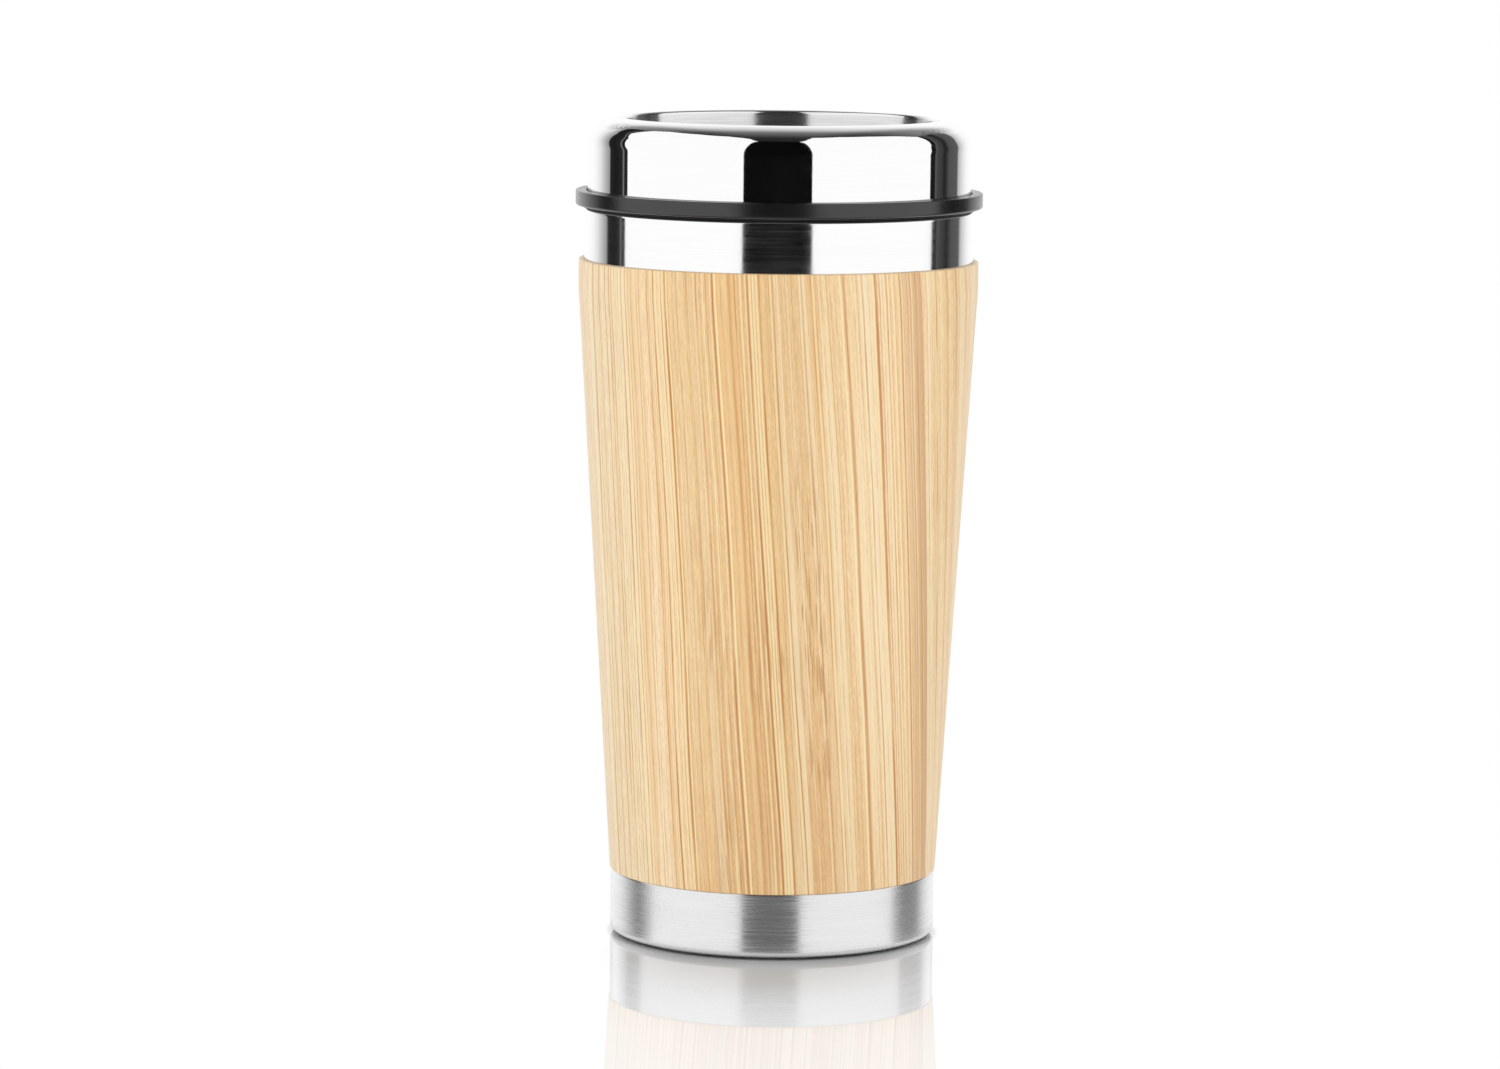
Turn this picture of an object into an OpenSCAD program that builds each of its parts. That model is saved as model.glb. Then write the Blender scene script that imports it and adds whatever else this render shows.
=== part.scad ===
// Double-walled travel cup with a bamboo sleeve and a pull-off lid.
// Z is up, the origin is the middle of the footprint, and the spout faces -Y.

/* [Base cup] */
// Height of the brushed base cup, from the table to the sleeve
base_h = 14.2; // [10:0.1:20]
// Sheet thickness of the base cup
base_t = 0.9; // [0.7:0.05:1.1]
// Radius of the base cup's bottom edge
base_edge_r = 1.4; // [1.2:0.1:3]
// Width of the steel rim around the foot pad
foot_rim_w = 4.6; // [3.6:0.1:8]
// Thickness of the foot pad
foot_t = 1.8; // [1.4:0.1:2.4]
// How far the foot pad stands below the base cup
foot_proud = 0.5; // [0.2:0.05:0.6]
// Depth of the grooves in the foot pad
foot_groove_depth = 0.5; // [0.3:0.05:0.7]
// Width of one groove in the foot pad
foot_groove_w = 1.4; // [0.8:0.1:2]
// Number of ring grooves in the foot pad
foot_grooves = 3; // [1:1:4]

/* [Bamboo sleeve] */
// Height of the bamboo sleeve
sleeve_h = 131.6; // [100:0.1:160]
// Outside diameter of the sleeve's lower end
sleeve_bottom_d = 70.4; // [66:0.1:76]
// Outside diameter of the sleeve's upper end
sleeve_top_d = 85.5; // [80:0.1:92]
// Height of the straight band at the sleeve's upper end
sleeve_band_h = 6; // [2:0.5:12]
// Thickness of the bamboo sheet
sleeve_t = 1.1; // [0.8:0.05:1.6]
// Chamfer on the sleeve's outer edges
sleeve_chamfer = 0.25; // [0.1:0.05:0.5]
// Width of the butt joint down the back of the sleeve
seam_gap = 0.2; // [0.1:0.05:0.4]

/* [Steel shell and liner] */
// Height of the polished collar above the sleeve
collar_h = 11.05; // [8:0.05:16]
// Radius of the collar's top edge
collar_edge_r = 0.9; // [0.9:0.1:2]
// Sheet thickness of the outer shell and its bottom plate
shell_t = 0.6; // [0.4:0.05:0.8]
// Sheet thickness of the liner
liner_t = 0.5; // [0.4:0.05:0.7]
// Width of the rim, from the collar's outside to the mouth
rim_w = 3.55; // [3:0.05:5]
// Depth of the straight neck that takes the lid
neck_h = 15; // [14:0.1:20]
// Step from the neck down to the tapered wall
neck_step = 0.6; // [0.3:0.1:1.2]
// Gap between liner and shell at the foot of the wall
wall_gap = 2.9; // [2:0.1:4]
// Gap between the liner's floor and the bottom plate
floor_gap = 3; // [2:0.1:5]
// Radius between the liner's wall and its floor
liner_corner_r = 6; // [4:0.5:10]
// Height of the bottom plate above the shell's lower end
plate_h = 4; // [3.2:0.1:6]
// Height of the bottom plate's skirt
skirt_h = 3.2; // [2:0.1:3.2]

/* [Lid body] */
// Thickness of the gasket between rim and lid
gasket_t = 0.45; // [0.4:0.05:1]
// How far the gasket stands out past the collar
gasket_over = 0.45; // [0.3:0.05:1.2]
// Height of the grip flange
flange_h = 3.2; // [2.6:0.1:5]
// How far the grip flange stands out past the collar
flange_over = 1.9; // [1.5:0.05:3]
// Radius of the flange's lower edge
flange_low_r = 0.5; // [0.4:0.05:1]
// Radius of the flange's upper edge
flange_top_r = 0.3; // [0.2:0.05:0.8]
// Length of the plug that enters the mouth
plug_h = 12.6; // [11:0.1:14]
// Gap between plug and neck, which the seals bridge
plug_gap = 0.6; // [0.4:0.05:1]
// Wall thickness of the plug
plug_t = 2.6; // [2.2:0.1:3.2]
// Chamfer at the plug's lower edge
plug_chamfer = 0.8; // [0.4:0.1:1.2]
// Thickness of the lid's floor
floor_t = 2; // [1.6:0.1:3]
// Wall thickness of the riser under the floor
riser_t = 1.8; // [1.2:0.1:2.4]
// Thickness of the underplate that closes the plug
under_t = 1.6; // [1.2:0.1:2.4]
// Width of the ledge that the underplate stops on
ledge_w = 1.2; // [0.8:0.1:2]
// Height of that ledge
ledge_h = 1.2; // [0.8:0.1:2]

/* [Plug seals] */
// Height of one seal's groove
seal_h = 2.4; // [1.8:0.1:3]
// Depth of one seal's groove
seal_depth = 1.1; // [0.8:0.1:1.4]
// Height of the seal's lip at its tip
seal_lip_h = 0.7; // [0.4:0.1:1]
// Distance from one seal to the next
seal_pitch = 4.6; // [4:0.1:5.2]
// Distance from the plug's lower edge to the lower groove
seal_inset = 2.4; // [1.8:0.1:3]

/* [Lid cover] */
// Height of the polished cover above the flange
cover_h = 15.6; // [13:0.1:20]
// Sheet thickness of the cover
cover_t = 0.6; // [0.4:0.05:0.8]
// Ledge of the flange that stays clear outside the cover
cover_ledge = 2.5; // [2:0.1:4]
// Radius of the cover's outer shoulder
shoulder_r = 6; // [4:0.1:8]
// Width of the flat crest
crest_w = 0.6; // [0.2:0.1:2]
// Radius of the bend from the crest into the recess
rim_bend_r = 1; // [0.9:0.1:1.5]
// Depth of the recess in the lid
recess_depth = 10; // [8:0.1:11]
// How far the recess wall leans in on its way down
recess_draft = 1.2; // [0:0.1:2]
// How deep the cover's edges sit in the lid body
seat_depth = 1; // [0.6:0.1:1.4]

/* [Slider] */
// Width of the drinking spout
spout_w = 16; // [13:0.5:19]
// Length of the drinking spout
spout_l = 7; // [6:0.5:8]
// Distance from the edge of the recess floor to the middle of the spout
spout_inset = 9; // [8.5:0.1:11]
// Diameter of the vent hole
vent_d = 2; // [1.6:0.1:2.4]
// Gap between the spout tube and the vent tube
tube_gap = 1; // [0.8:0.1:2]
// Wall thickness of the spout and vent tubes
tube_t = 1.2; // [1:0.1:1.6]
// How far the seal pad reaches past the holes
pad_lap = 2; // [1.5:0.1:2.4]
// Thickness of the seal pad
pad_t = 1.2; // [1:0.1:1.4]
// Thickness of the slider's plate
slider_t = 2.6; // [2.4:0.1:3.2]
// Wall of the slider around its pad
slider_wall = 1; // [0.8:0.1:1.4]
// Gap between the slider's round ends and the edge of the recess floor
slider_gap = 1.2; // [0.8:0.1:1.6]
// Clear opening left beyond the vent when the slider is open
open_gap = 0.5; // [0.3:0.1:1]
// Length of the thumb grip
grip_l = 12; // [9:0.5:14]
// Width of the thumb grip
grip_w = 16; // [12:0.5:19]
// Height of the thumb grip's front
grip_h = 4; // [3:0.1:4.6]
// Height of the thumb grip's back
grip_low_h = 1.6; // [1:0.1:2.4]
// Radius of one rib on the thumb grip
rib_r = 0.5; // [0.3:0.1:0.7]
// Number of ribs on the thumb grip
ribs = 4; // [2:1:5]
// Length of the retaining clip
clip_l = 11; // [9.5:0.1:12.5]
// Width of the retaining clip
clip_w = 13; // [10.5:0.1:15]
// Thickness of the retaining clip
clip_t = 1.2; // [1:0.1:1.6]
// Distance from the vent tube to the retaining clip
clip_gap = 2; // [1.5:0.1:3]
// Length of the clip's stem
stem_l = 7.4; // [6:0.1:8.8]
// Width of the clip's stem
stem_w = 5.4; // [4:0.1:7]
// How deep the stem is pressed into the slider
stem_depth = 1.6; // [1.3:0.05:1.9]
// Height of the guide rails beside the slider
rail_h = 1.8; // [1.2:0.1:2.4]
// Width of one guide rail
rail_w = 1.6; // [1.2:0.1:2]
// Distance from the edge of the recess floor to the ends of the rails
rail_inset = 3.3; // [2:0.1:5]

/* [Clearances] */
// Gap at glued, welded and pressed joints
fit_gap = 0.05; // [0.02:0.01:0.1]
// Gap between silicone and the face it wipes
wipe_gap = 0.15; // [0.1:0.01:0.2]
// Gap between sliding plastic faces
slide_gap = 0.3; // [0.2:0.05:0.4]
// Open line between the cover and the flange
cover_gap = 0.25; // [0.1:0.05:0.4]

/* [Hidden] */

// One overrun for every cut, and the steps of a full turn and of one bend
overrun = 1;
turn_steps = 180;
bend_steps = 10;

// Heights of the cup
sleeve_z = base_h;
collar_z = sleeve_z + sleeve_h;
band_z = collar_z - sleeve_band_h;
mouth_z = collar_z + collar_h;
shell_z = foot_proud + base_edge_r + fit_gap;
plate_z = shell_z + plate_h;
liner_z = plate_z + floor_gap;
neck_z = mouth_z - neck_h;

// Radii of the cup, from the sleeve inwards
sleeve_low_r = sleeve_bottom_d / 2;
sleeve_high_r = sleeve_top_d / 2;
shell_low_r = sleeve_low_r - sleeve_t - fit_gap;
collar_r = sleeve_high_r - sleeve_t - fit_gap;
base_r = shell_low_r + fit_gap + base_t;
foot_r = base_r - foot_rim_w;
mouth_r = collar_r - rim_w;
liner_low_r = shell_low_r - shell_t - wall_gap - liner_t;
liner_high_r = mouth_r - neck_step;

// Heights of the lid
lid_z = mouth_z + gasket_t;
flange_z = lid_z + flange_h;
top_z = flange_z + cover_h;
floor_z = top_z - recess_depth;
plug_z = lid_z - plug_h;
under_z = plug_z + under_t;

// Radii of the lid
flange_r = collar_r + flange_over;
cover_r = flange_r - cover_ledge;
recess_r = cover_r - shoulder_r - crest_w - rim_bend_r;
recess_floor_r = recess_r - recess_draft;
draft_angle = atan(recess_draft / (recess_depth - rim_bend_r));
plug_r = mouth_r - plug_gap;
plug_in_r = plug_r - plug_t;
seal_root_r = plug_r - seal_depth;
lip_r = recess_floor_r + cover_t + fit_gap + riser_t;
riser_in_r = min(lip_r - riser_t, plug_in_r);

// Places along the slider's travel
spout_y = spout_inset - recess_floor_r;
vent_y = spout_y + spout_l / 2 + tube_gap + 2 * tube_t + vent_d / 2;
pad_front = spout_y - spout_l / 2 - pad_lap;
pad_back = vent_y + vent_d / 2 + pad_lap;
pad_w = spout_w + 2 * pad_lap;
slider_front = pad_front - slider_wall;
slider_w = pad_w + 2 * slider_wall;
travel = vent_y + vent_d / 2 + open_gap - slider_front;
stem_y = vent_y + vent_d / 2 + tube_t + clip_gap + clip_l / 2;
slot_front = stem_y - stem_l / 2 - slide_gap;
slot_back = stem_y + stem_l / 2 + travel + slide_gap;
slider_back = slot_back + slider_wall;
slider_z = floor_z + slide_gap;
pad_z = floor_z + wipe_gap;
slider_top = slider_z + slider_t;
slider_end_r = recess_floor_r - slider_gap;

echo(base_d = 2 * base_r, mouth_d = 2 * mouth_r, flange_d = 2 * flange_r, cover_d = 2 * cover_r);
echo(mouth_z = mouth_z, lid_z = lid_z, flange_z = flange_z, floor_z = floor_z, top_z = top_z);
echo(recess_floor_d = 2 * recess_floor_r, spout_y = spout_y, vent_y = vent_y, stem_y = stem_y);
echo(travel = travel, slider_front = slider_front, slider_back = slider_back, slider_w = slider_w);
echo(liner_z = liner_z, shell_z = shell_z);

// Points along a round stretch, from angle a0 to angle a1
function arc(x, y, r, a0, a1) = [
    for (i = [0:bend_steps])
        let (a = a0 + (a1 - a0) * i / bend_steps)
        [x + r * cos(a), y + r * sin(a)]
];

function reversed(points) = [for (i = [len(points) - 1:-1:0]) points[i]];

module turned(points) {
    rotate_extrude($fn = turn_steps) polygon(points);
}

// A flat ring or disc between two radii
module ring(r_in, r_out, z, h) {
    translate([0, 0, z]) difference() {
        cylinder(h = h, r = r_out, $fn = turn_steps);
        translate([0, 0, -overrun]) cylinder(h = h + 2 * overrun, r = r_in, $fn = turn_steps);
    }
}

// An upright slot shape with round ends, w wide along X and l long along Y
module slot_shape(w, l, h) {
    half = (w - l) / 2;
    translate([-half, -l / 2, 0]) cube([2 * half, l, h]);
    for (side = [-1, 1])
        translate([side * half, 0, 0]) cylinder(h = h, d = l, $fn = turn_steps);
}

// Non-slip pad under the base, with ring grooves in its lower face
module foot_pad() {
    groove_pitch = foot_r / (foot_grooves + 1);
    color("dimgray") difference() {
        cylinder(h = foot_t, r = foot_r, $fn = turn_steps);
        for (i = [1:foot_grooves])
            ring(i * groove_pitch, i * groove_pitch + foot_groove_w, -overrun, overrun + foot_groove_depth);
    }
}

// Brushed pan pressed over the shell's foot, with a stepped floor that holds the pad
module base_cup() {
    in_r = base_r - base_t;
    edge_z = foot_proud + base_edge_r;
    step_r = foot_r + fit_gap;
    color("silver") turned(concat(
        [[0, foot_t], [step_r, foot_t], [step_r, foot_proud], [base_r - base_edge_r, foot_proud]],
        arc(base_r - base_edge_r, edge_z, base_edge_r, -90, 0),
        [[base_r, base_h], [in_r, base_h]],
        reversed(arc(base_r - base_edge_r, edge_z, base_edge_r - base_t, -90, 0)),
        [
            [step_r + base_t, foot_proud + base_t], [step_r + base_t, foot_t + base_t], [0, foot_t + base_t]
        ]
    ));
}

// Bottom plate welded into the shell's foot, open side down
module shell_bottom_plate() {
    out_r = shell_low_r - shell_t - fit_gap;
    skirt_z = plate_z - skirt_h;
    color("gainsboro") turned([
        [out_r - shell_t, skirt_z], [out_r, skirt_z], [out_r, plate_z],
        [0, plate_z], [0, plate_z - shell_t], [out_r - shell_t, plate_z - shell_t]
    ]);
}

// Tapered outer wall, whose polished top shows as the collar
module outer_shell() {
    edge_x = collar_r - collar_edge_r;
    edge_z = mouth_z - collar_edge_r;
    weld_r = mouth_r + liner_t + fit_gap;
    color("gainsboro") turned(concat(
        [[shell_low_r, shell_z], [shell_low_r, sleeve_z], [collar_r, band_z]],
        arc(edge_x, edge_z, collar_edge_r, 0, 90),
        [[weld_r, mouth_z], [weld_r, mouth_z - shell_t]],
        reversed(arc(edge_x, edge_z, collar_edge_r - shell_t, 0, 90)),
        [[collar_r - shell_t, band_z], [shell_low_r - shell_t, sleeve_z], [shell_low_r - shell_t, shell_z]]
    ));
}

// Drawn inner cup with a straight neck
module inner_liner() {
    corner_x = liner_low_r - liner_corner_r;
    corner_z = liner_z + liner_t + liner_corner_r;
    color("gainsboro") turned(concat(
        [[0, liner_z]],
        arc(corner_x, corner_z, liner_corner_r + liner_t, -90, 0),
        [
            [liner_high_r + liner_t, neck_z - neck_step], [mouth_r + liner_t, neck_z],
            [mouth_r + liner_t, mouth_z],
            [mouth_r, mouth_z], [mouth_r, neck_z], [liner_high_r, neck_z - neck_step]
        ],
        reversed(arc(corner_x, corner_z, liner_corner_r, -90, 0)),
        [[0, liner_z + liner_t]]
    ));
}

// Bamboo sheet rolled into a cone, with its two edges meeting at the back
module bamboo_sleeve() {
    c = sleeve_chamfer;
    color("burlywood") difference() {
        turned([
            [sleeve_low_r - sleeve_t, sleeve_z], [sleeve_low_r - c, sleeve_z], [sleeve_low_r, sleeve_z + c],
            [sleeve_high_r, band_z], [sleeve_high_r, collar_z - c], [sleeve_high_r - c, collar_z],
            [sleeve_high_r - sleeve_t, collar_z], [sleeve_high_r - sleeve_t, band_z]
        ]);
        translate([-seam_gap / 2, 0, sleeve_z - overrun])
            cube([seam_gap, sleeve_high_r + overrun, sleeve_h + 2 * overrun]);
    }
}

// Flat gasket that lies on the rim and carries the lid
module rim_gasket() {
    color("black") ring(plug_r + wipe_gap, collar_r + gasket_over, mouth_z, gasket_t);
}

// Round section of the lid body: floor, riser, grip flange and plug
module lid_body_turned() {
    seat_r = cover_r - cover_t - fit_gap;
    wall_r = recess_floor_r + cover_t + fit_gap;
    ledge_z = under_z + ledge_h;
    turned(concat(
        [
            [0, floor_z - floor_t], [riser_in_r, floor_z - floor_t], [riser_in_r, lid_z],
            [plug_in_r, lid_z], [plug_in_r, ledge_z], [plug_in_r - ledge_w, ledge_z],
            [plug_in_r - ledge_w, under_z], [plug_in_r, under_z], [plug_in_r, plug_z],
            [plug_r - plug_chamfer, plug_z], [plug_r, plug_z + plug_chamfer]
        ],
        seal_groove(0),
        seal_groove(1),
        [[plug_r, lid_z]],
        arc(flange_r - flange_low_r, lid_z + flange_low_r, flange_low_r, -90, 0),
        arc(flange_r - flange_top_r, flange_z - flange_top_r, flange_top_r, 0, 90),
        [
            [cover_r + cover_gap, flange_z], [cover_r + cover_gap, flange_z - seat_depth],
            [seat_r, flange_z - seat_depth], [seat_r, flange_z], [lip_r, flange_z],
            [lip_r, floor_z], [wall_r, floor_z], [wall_r, floor_z - seat_depth],
            [recess_floor_r - fit_gap, floor_z - seat_depth], [recess_floor_r - fit_gap, floor_z], [0, floor_z]
        ]
    ));
}

function seal_z(i) = plug_z + seal_inset + i * seal_pitch;

function seal_groove(i) = [
    [plug_r, seal_z(i)], [seal_root_r, seal_z(i)],
    [seal_root_r, seal_z(i) + seal_h], [plug_r, seal_z(i) + seal_h]
];

// Spout and vent as tubes, or as the holes through them
module spout_and_vent(wall, z, h) {
    translate([0, spout_y, z]) slot_shape(spout_w + 2 * wall, spout_l + 2 * wall, h);
    translate([0, vent_y, z]) cylinder(h = h, d = vent_d + 2 * wall, $fn = turn_steps);
}

// Two ribs that guide the slider along Y
module guide_rails() {
    rail_x = slider_w / 2 + slide_gap;
    intersection() {
        for (side = [0, 180])
            rotate([0, 0, side])
                translate([rail_x, -recess_floor_r, floor_z - floor_t / 2])
                    cube([rail_w, 2 * recess_floor_r, floor_t / 2 + rail_h]);
        cylinder(h = top_z, r = recess_floor_r - rail_inset, $fn = turn_steps);
    }
}

// Black moulding that carries the cover, the seals and the slider
module lid_body() {
    slot_w = stem_w + 2 * slide_gap;
    color("#262628") difference() {
        union() {
            lid_body_turned();
            guide_rails();
            spout_and_vent(tube_t, plug_z, floor_z - floor_t / 2 - plug_z);
        }
        spout_and_vent(0, plug_z - overrun, floor_z - plug_z + 2 * overrun);
        translate([-slot_w / 2, slot_front, floor_z - floor_t - overrun])
            cube([slot_w, slot_back - slot_front, floor_t + 2 * overrun]);
    }
}

// Disc that closes the underside of the plug around the spout and vent tubes
module lid_underplate() {
    color("#3a3a3c") difference() {
        translate([0, 0, plug_z]) cylinder(h = under_t, r = plug_in_r - fit_gap, $fn = turn_steps);
        spout_and_vent(tube_t + fit_gap, plug_z - overrun, under_t + 2 * overrun);
    }
}

// Silicone ring in one groove of the plug, with a lip that wipes the neck
module plug_seal(i) {
    low = seal_z(i) + fit_gap;
    high = seal_z(i) + seal_h - fit_gap;
    middle = (low + high) / 2;
    lip = mouth_r - wipe_gap;
    color("lightgray") turned([
        [seal_root_r + fit_gap, low], [plug_r, low], [lip, middle - seal_lip_h / 2],
        [lip, middle + seal_lip_h / 2], [plug_r, high], [seal_root_r + fit_gap, high]
    ]);
}

module plug_seal_lower() {
    plug_seal(0);
}

module plug_seal_upper() {
    plug_seal(1);
}

// Polished sheet ring: outer wall, round shoulder, crest and the wall of the recess
module lid_cover() {
    shoulder_x = cover_r - shoulder_r;
    shoulder_z = top_z - shoulder_r;
    bend_x = recess_r + rim_bend_r;
    bend_z = top_z - rim_bend_r;
    low_z = flange_z - seat_depth + fit_gap;
    recess_low_z = floor_z - seat_depth + fit_gap;
    color("whitesmoke") turned(concat(
        [[cover_r, low_z]],
        arc(shoulder_x, shoulder_z, shoulder_r, 0, 90),
        arc(bend_x, bend_z, rim_bend_r, 90, 180 - draft_angle),
        [
            [recess_floor_r, floor_z], [recess_floor_r, recess_low_z],
            [recess_floor_r + cover_t, recess_low_z], [recess_floor_r + cover_t, floor_z]
        ],
        reversed(arc(bend_x, bend_z, rim_bend_r - cover_t, 90, 180 - draft_angle)),
        reversed(arc(shoulder_x, shoulder_z, shoulder_r - cover_t, 0, 90)),
        [[cover_r - cover_t, low_z]]
    ));
}

// Outline of the slider seen from above, round at both ends and drawn in by inset, up to back
module slider_plan(z, h, inset, back) {
    w = slider_w - 2 * inset;
    front = slider_front + inset;
    end_r = slider_end_r - inset;
    intersection() {
        translate([-w / 2, front, z]) cube([w, back - front, h]);
        translate([0, slider_front + slider_end_r, z]) cylinder(h = h, r = end_r, $fn = turn_steps);
        translate([0, slider_back - slider_end_r, z]) cylinder(h = h, r = end_r, $fn = turn_steps);
    }
}

// Ribbed wedge for the thumb, high at the front and low at the back
module thumb_grip() {
    front_y = stem_y - grip_l / 2;
    run = grip_l - grip_h / 2;
    fall = (grip_h - grip_low_h) / run;
    sink = slider_t / 2;
    translate([-grip_w / 2, front_y, slider_top]) rotate([90, 0, 90])
        linear_extrude(height = grip_w) polygon([
            [0, -sink], [grip_l, -sink], [grip_l, grip_low_h], [grip_h / 2, grip_h], [0, 0]
        ]);
    for (i = [0:ribs - 1]) {
        along = run * (i + 1 / 2) / ribs;
        translate([-grip_w / 2, front_y + grip_h / 2 + along, slider_top + grip_h - fall * along])
            rotate([0, 90, 0]) cylinder(h = grip_w, r = rib_r, $fn = turn_steps);
    }
}

// Closure that slides back to open the spout and the vent
module slider() {
    pocket_t = pad_t + wipe_gap - slide_gap;
    socket_w = stem_w + 2 * fit_gap;
    socket_l = stem_l + 2 * fit_gap;
    color("#1c1c1e") difference() {
        union() {
            slider_plan(slider_z, slider_t, 0, slider_back);
            thumb_grip();
        }
        slider_plan(slider_z - overrun, pocket_t + overrun, slider_wall - fit_gap, pad_back + fit_gap);
        translate([-socket_w / 2, stem_y - socket_l / 2, slider_z - overrun])
            cube([socket_w, socket_l, stem_depth + overrun]);
    }
}

// Silicone pad in the slider's lower face, which closes the spout and the vent
module slider_seal_pad() {
    color("lightgray") slider_plan(pad_z, pad_t, slider_wall, pad_back);
}

// Foot under the lid's floor, pressed up through the slot into the slider
module slider_clip() {
    foot_top = floor_z - floor_t - slide_gap;
    color("#3a3a3c") {
        translate([-clip_w / 2, stem_y - clip_l / 2, foot_top - clip_t]) cube([clip_w, clip_l, clip_t]);
        translate([-stem_w / 2, stem_y - stem_l / 2, foot_top - clip_t / 2])
            cube([stem_w, stem_l, slider_z + stem_depth - foot_top + clip_t / 2]);
    }
}

foot_pad();
base_cup();
shell_bottom_plate();
outer_shell();
inner_liner();
bamboo_sleeve();
rim_gasket();
lid_body();
lid_underplate();
plug_seal_lower();
plug_seal_upper();
lid_cover();
slider();
slider_seal_pad();
slider_clip();
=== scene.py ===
"""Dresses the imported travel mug: turned steel, rolled bamboo, moulded lid, and a small white studio."""
import math

import bmesh
import bpy
from mathutils import Matrix, Vector


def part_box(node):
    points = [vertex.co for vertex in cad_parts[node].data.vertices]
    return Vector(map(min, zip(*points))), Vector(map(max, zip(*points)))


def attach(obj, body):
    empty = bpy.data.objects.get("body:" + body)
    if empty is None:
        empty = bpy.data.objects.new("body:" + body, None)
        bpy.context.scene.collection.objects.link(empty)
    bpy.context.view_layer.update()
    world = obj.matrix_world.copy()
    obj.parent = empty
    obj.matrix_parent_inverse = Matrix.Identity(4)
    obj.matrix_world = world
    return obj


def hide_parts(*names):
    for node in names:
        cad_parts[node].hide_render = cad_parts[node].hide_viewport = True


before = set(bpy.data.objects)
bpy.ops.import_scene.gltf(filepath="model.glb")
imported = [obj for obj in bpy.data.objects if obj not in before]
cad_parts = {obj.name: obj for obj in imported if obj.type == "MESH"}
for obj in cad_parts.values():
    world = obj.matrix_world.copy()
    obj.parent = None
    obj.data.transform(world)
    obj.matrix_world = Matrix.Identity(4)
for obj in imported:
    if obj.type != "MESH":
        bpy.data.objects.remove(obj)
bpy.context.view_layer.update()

MM = 0.001
SCENE = bpy.context.scene


# ---------------- Sizes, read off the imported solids

def turned_size(node):
    """Outer radius, lowest height and highest height of a turned solid."""
    low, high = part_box(node)
    return max(high.x, high.y, -low.x, -low.y), low.z, high.z


pad_r, pad_low, pad_top = turned_size("foot_pad")
base_r, base_low, base_top = turned_size("base_cup")
sleeve_r, sleeve_low, sleeve_top = turned_size("bamboo_sleeve")
shell_r, shell_low, mouth_z = turned_size("outer_shell")
neck_out_r, liner_low, _ = turned_size("inner_liner")
gasket_r, gasket_low, gasket_top = turned_size("rim_gasket")
flange_r, plug_low, rail_top = turned_size("lid_body")
cover_r, cover_low, cover_top = turned_size("lid_cover")
seal_r, seal_low, seal_top = turned_size("plug_seal_lower")
upper_seal_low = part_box("plug_seal_upper")[0].z
slider_low, slider_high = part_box("slider")

# Sheets, walls and gaps, as the part's source has them
BASE_SHEET = 0.9 * MM
BASE_EDGE_R = 1.4 * MM
SLEEVE_SHEET = 1.1 * MM
SLEEVE_EDGE_R = 0.3 * MM
SLEEVE_FOOT_R = base_r + 0.2 * MM
SLEEVE_BAND = 6 * MM
SEAM_GAP = 0.2 * MM
SHELL_SHEET = 0.6 * MM
SHELL_EDGE_R = 0.9 * MM
SHELL_FOOT_R = 34.05 * MM
LINER_SHEET = 0.5 * MM
LINER_FOOT_R = 30.05 * MM
LINER_CORNER_R = 6 * MM
NECK_H = 15 * MM
NECK_STEP = 0.6 * MM
COVER_SHEET = 0.6 * MM
SHOULDER_R = 6 * MM
CREST_W = 0.6 * MM
RIM_BEND_R = 1 * MM
RECESS_DRAFT = 1.2 * MM
FIT_GAP = 0.05 * MM

neck_r = neck_out_r - LINER_SHEET
sleeve_band_z = sleeve_top - SLEEVE_BAND
flange_top = cover_top - 15.6 * MM
floor_z = cover_top - 10 * MM
recess_mouth_r = cover_r - SHOULDER_R - CREST_W - RIM_BEND_R
recess_r = recess_mouth_r - RECESS_DRAFT
recess_lean = math.degrees(math.atan(RECESS_DRAFT / (cover_top - RIM_BEND_R - floor_z)))
plug_r = neck_r - 0.6 * MM
rail_r = recess_r - 3.3 * MM

# Places on the slider's line of travel
SPOUT_Y, SPOUT_W, SPOUT_L = -23.2 * MM, 16 * MM, 7 * MM
VENT_Y, VENT_R = -15.3 * MM, 1 * MM
TUBE_WALL = 1.2 * MM
SLOT_W, SLOT_FRONT, SLOT_BACK = 6 * MM, -9.6 * MM, 14.3 * MM
SLIDER_END_R = recess_r - 1.2 * MM
GRIP_FRONT, GRIP_L, GRIP_W = -11.6 * MM, 12 * MM, 16 * MM
GRIP_H, GRIP_LOW_H = 4 * MM, 1.6 * MM
RIB_R, RIBS = 0.5 * MM, 4


# ---------------- Node helpers

class Field:
    """What a node puts out: its first output, or another one by its name or number in brackets. Arithmetic on
    it adds Math nodes to the same tree."""

    def __init__(self, tree, node, output=0):
        self.tree, self.node, self.output = tree, node, output

    def __getitem__(self, output):
        return Field(self.tree, self.node, output)

    def __add__(self, other):
        return calculate("ADD", self, other)

    def __sub__(self, other):
        return calculate("SUBTRACT", self, other)

    def __rsub__(self, other):
        return calculate("SUBTRACT", other, self)

    def __mul__(self, other):
        return calculate("MULTIPLY", self, other)

    def __truediv__(self, other):
        return calculate("DIVIDE", self, other)

    def __rtruediv__(self, other):
        return calculate("DIVIDE", other, self)

    def __abs__(self):
        return calculate("ABSOLUTE", self)


def feed(socket, value):
    if isinstance(value, Field):
        value.tree.links.new(value.node.outputs[value.output], socket)
    else:
        socket.default_value = value


def add(tree, kind, inputs=None, **settings):
    """A new node, whose inputs are given by name or number, as values or fields."""
    node = tree.nodes.new(kind)
    for name, value in settings.items():
        setattr(node, name, value)
    for name, value in (inputs or {}).items():
        feed(node.inputs[name], value)
    return Field(tree, node)


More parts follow.
